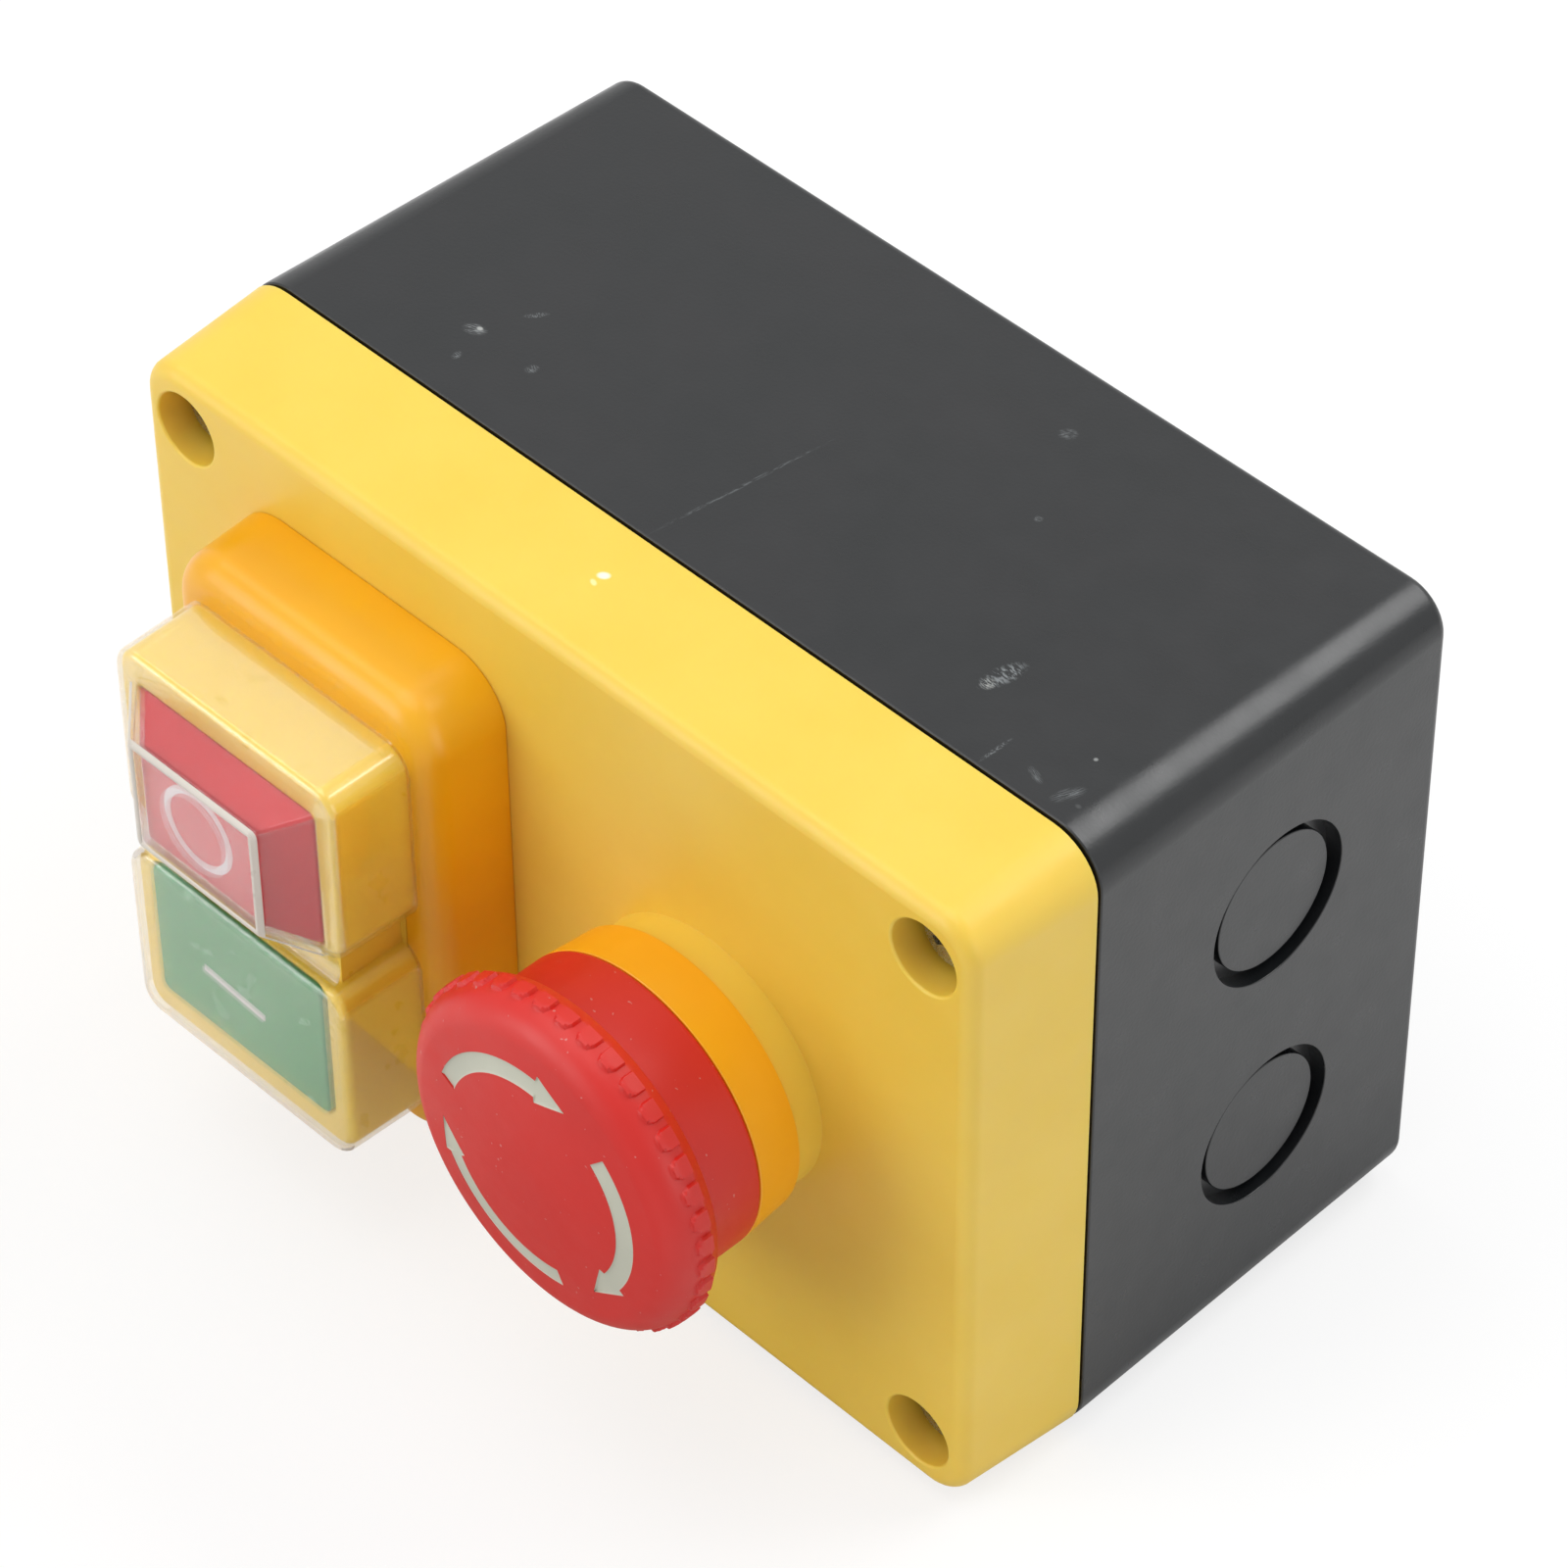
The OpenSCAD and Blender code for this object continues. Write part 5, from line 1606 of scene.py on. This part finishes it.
@dataclass(frozen=True)
class SoftLamp:
    """A softbox: where it hangs in metres, its width and height, and its power in watts."""

    name: str
    place: Point
    size: Flat
    power: float

    def hang(self, target: Vector) -> None:
        """Make the lamp and turn it to the target.

        Args:
            target: what it points at, in metres.
        """
        data = bpy.data.lights.new(self.name, "AREA")
        data.shape = "RECTANGLE"
        data.size, data.size_y = self.size
        data.energy = self.power
        lamp = bpy.data.objects.new(self.name, data)
        lamp.location = self.place
        lamp.rotation_euler = (target - Vector(self.place)).to_track_quat("-Z", "Y").to_euler()
        bpy.context.scene.collection.objects.link(lamp)


@dataclass
class Studio:
    """Camera, floor, world and lamps."""

    camera_mm: Point = (374.47, -398.45, 507.07)
    azimuth_deg: float = 45.91
    elevation_deg: float = 44.354
    roll_deg: float = -0.513
    lens_mm: float = 149.39
    sensor_mm: float = 36.0
    sight_m: Flat = (0.01, 50.0)
    lamp_target: Point = (0.0, -0.05, 0.0)
    floor_half: float = 6.0
    floor_glow: float = 0.75
    floor_colour: str = "#8a8a8a"
    shade_x: float = 0.015
    shade_reach: Flat = (0.02, 0.065)
    shade_level: Flat = (0.45, 1.0)
    floor_bounce: str = "#cfcfcf"
    world_level: float = 0.42
    lamps: tuple[SoftLamp, ...] = (
        SoftLamp("back_softbox", (0.27, 0.73, 0.92), (0.85, 0.58), 7.5),
        SoftLamp("top_softbox", (-0.25, -0.25, 1.1), (0.9, 0.9), 5.0),
        SoftLamp("front_softbox", (-0.55, -1.1, 0.45), (0.8, 0.8), 5.6),
        SoftLamp("right_softbox", (1.2, -0.1, 0.35), (0.8, 0.8), 2.5),
    )

    def build(self) -> None:
        """Make everything that isn't part of the object."""
        self.build_camera()
        self.build_floor()
        self.build_world()
        for lamp in self.lamps:
            lamp.hang(Vector(self.lamp_target))

    def build_camera(self) -> None:
        """Place the camera where the photograph was taken from."""
        data = bpy.data.cameras.new("camera")
        data.lens = self.lens_mm
        data.sensor_width = self.sensor_mm
        data.clip_start, data.clip_end = self.sight_m
        camera = bpy.data.objects.new("camera", data)
        bpy.context.scene.collection.objects.link(camera)
        azimuth, elevation = math.radians(self.azimuth_deg), math.radians(self.elevation_deg)
        flat = math.cos(elevation)
        look = Vector((-math.sin(azimuth) * flat, math.cos(azimuth) * flat, -math.sin(elevation)))
        roll = Matrix.Rotation(math.radians(self.roll_deg), 4, "Z")
        turn = look.to_track_quat("-Z", "Y").to_matrix().to_4x4()
        camera.matrix_world = Matrix.Translation(Vector(self.camera_mm) * MM) @ turn @ roll
        bpy.context.scene.camera = camera

    def build_floor(self) -> None:
        """Lay a plain pale floor under the enclosure's lower side.

        To the camera and through clear plastic it glows, so that it shows white and keeps the shadow.
        It bounces pale grey light, and glossy faces see it without the glow, with a painted shade in one
        strip near the object, where the object's own shade lies on the floor.
        """
        level = PanelBox.of("lid").y0 * MM
        half = self.floor_half
        mesh = bpy.data.meshes.new("floor")
        points = [(-half, -half, level), (half, -half, level), (half, half, level), (-half, half, level)]
        mesh.from_pydata(points, [], [(0, 1, 2, 3)])
        floor = bpy.data.objects.new("floor", mesh)
        bpy.context.scene.collection.objects.link(floor)
        material, tree, shader = new_material("white_paper_floor")
        rays = tree.nodes.new("ShaderNodeLightPath").outputs
        looks = rays["Is Camera Ray"], rays["Is Transmission Ray"]
        seen = add_node(tree, "ShaderNodeMath", looks, operation=Arithmetic.LARGER)
        # Painted shade: glossy faces see the floor darker in a strip about shade_x, where the object shades
        # it
        along = add_node(tree, "ShaderNodeSeparateXYZ", (add_node(tree, "ShaderNodeNewGeometry"),))
        away = add_node(tree, "ShaderNodeMath", (along, self.shade_x), operation=Arithmetic.SUBTRACT)
        away = add_node(tree, "ShaderNodeMath", (away,), operation=Arithmetic.WITHOUT_SIGN)
        painted_shade_strip = add_node(tree, "ShaderNodeMapRange", (away, *self.shade_reach, *self.shade_level))
        colours = {SHARE: rays["Is Glossy Ray"], FIRST: linear(self.floor_bounce), SECOND: painted_shade_strip}
        colour = add_node(tree, "ShaderNodeMix", colours, MIXED, data_type="RGBA")
        colours = {SHARE: seen, FIRST: colour, SECOND: linear(self.floor_colour)}
        colour = add_node(tree, "ShaderNodeMix", colours, MIXED, data_type="RGBA")
        tree.links.new(colour, shader.inputs["Base Color"])
        glow = add_node(tree, "ShaderNodeMapRange", (seen, 0, 1, 0, self.floor_glow))
        tree.links.new(glow, shader.inputs["Emission Strength"])
        shader.inputs["Emission Color"].default_value = (1, 1, 1, 1)
        shader.inputs["Roughness"].default_value = 0.9
        shader.inputs["Specular IOR Level"].default_value = 0.0
        mesh.materials.append(material)

    def build_world(self) -> None:
        """Light the scene evenly, and show white to the camera, in gloss and through clear plastic."""
        world = bpy.data.worlds.new("studio")
        world.use_nodes = True
        bpy.context.scene.world = world
        tree = world.node_tree
        tree.nodes.clear()
        rays = tree.nodes.new("ShaderNodeLightPath").outputs
        seen = rays["Is Camera Ray"]
        for kind in ("Is Transmission Ray", "Is Glossy Ray"):
            seen = add_node(tree, "ShaderNodeMath", (seen, rays[kind]), operation=Arithmetic.LARGER)
        strength = add_node(tree, "ShaderNodeMapRange", (seen, 0, 1, self.world_level, 1))
        light = add_node(tree, "ShaderNodeBackground", {"Color": (1, 1, 1, 1), "Strength": strength})
        add_node(tree, "ShaderNodeOutputWorld", {"Surface": light})


def main() -> None:
    """Build every sub-assembly in order, noting each by name, and set the view transform to Standard."""
    logging.basicConfig(level=logging.INFO, format="%(message)s")
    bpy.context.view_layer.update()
    for part in (InnerWorks(), Enclosure(), StartStopSwitch(), EmergencyStop(), Studio()):
        LOG.info("building %s", type(part).__name__)
        part.build()
    bpy.context.scene.view_settings.view_transform = "Standard"


if __name__ == "__main__":
    main()
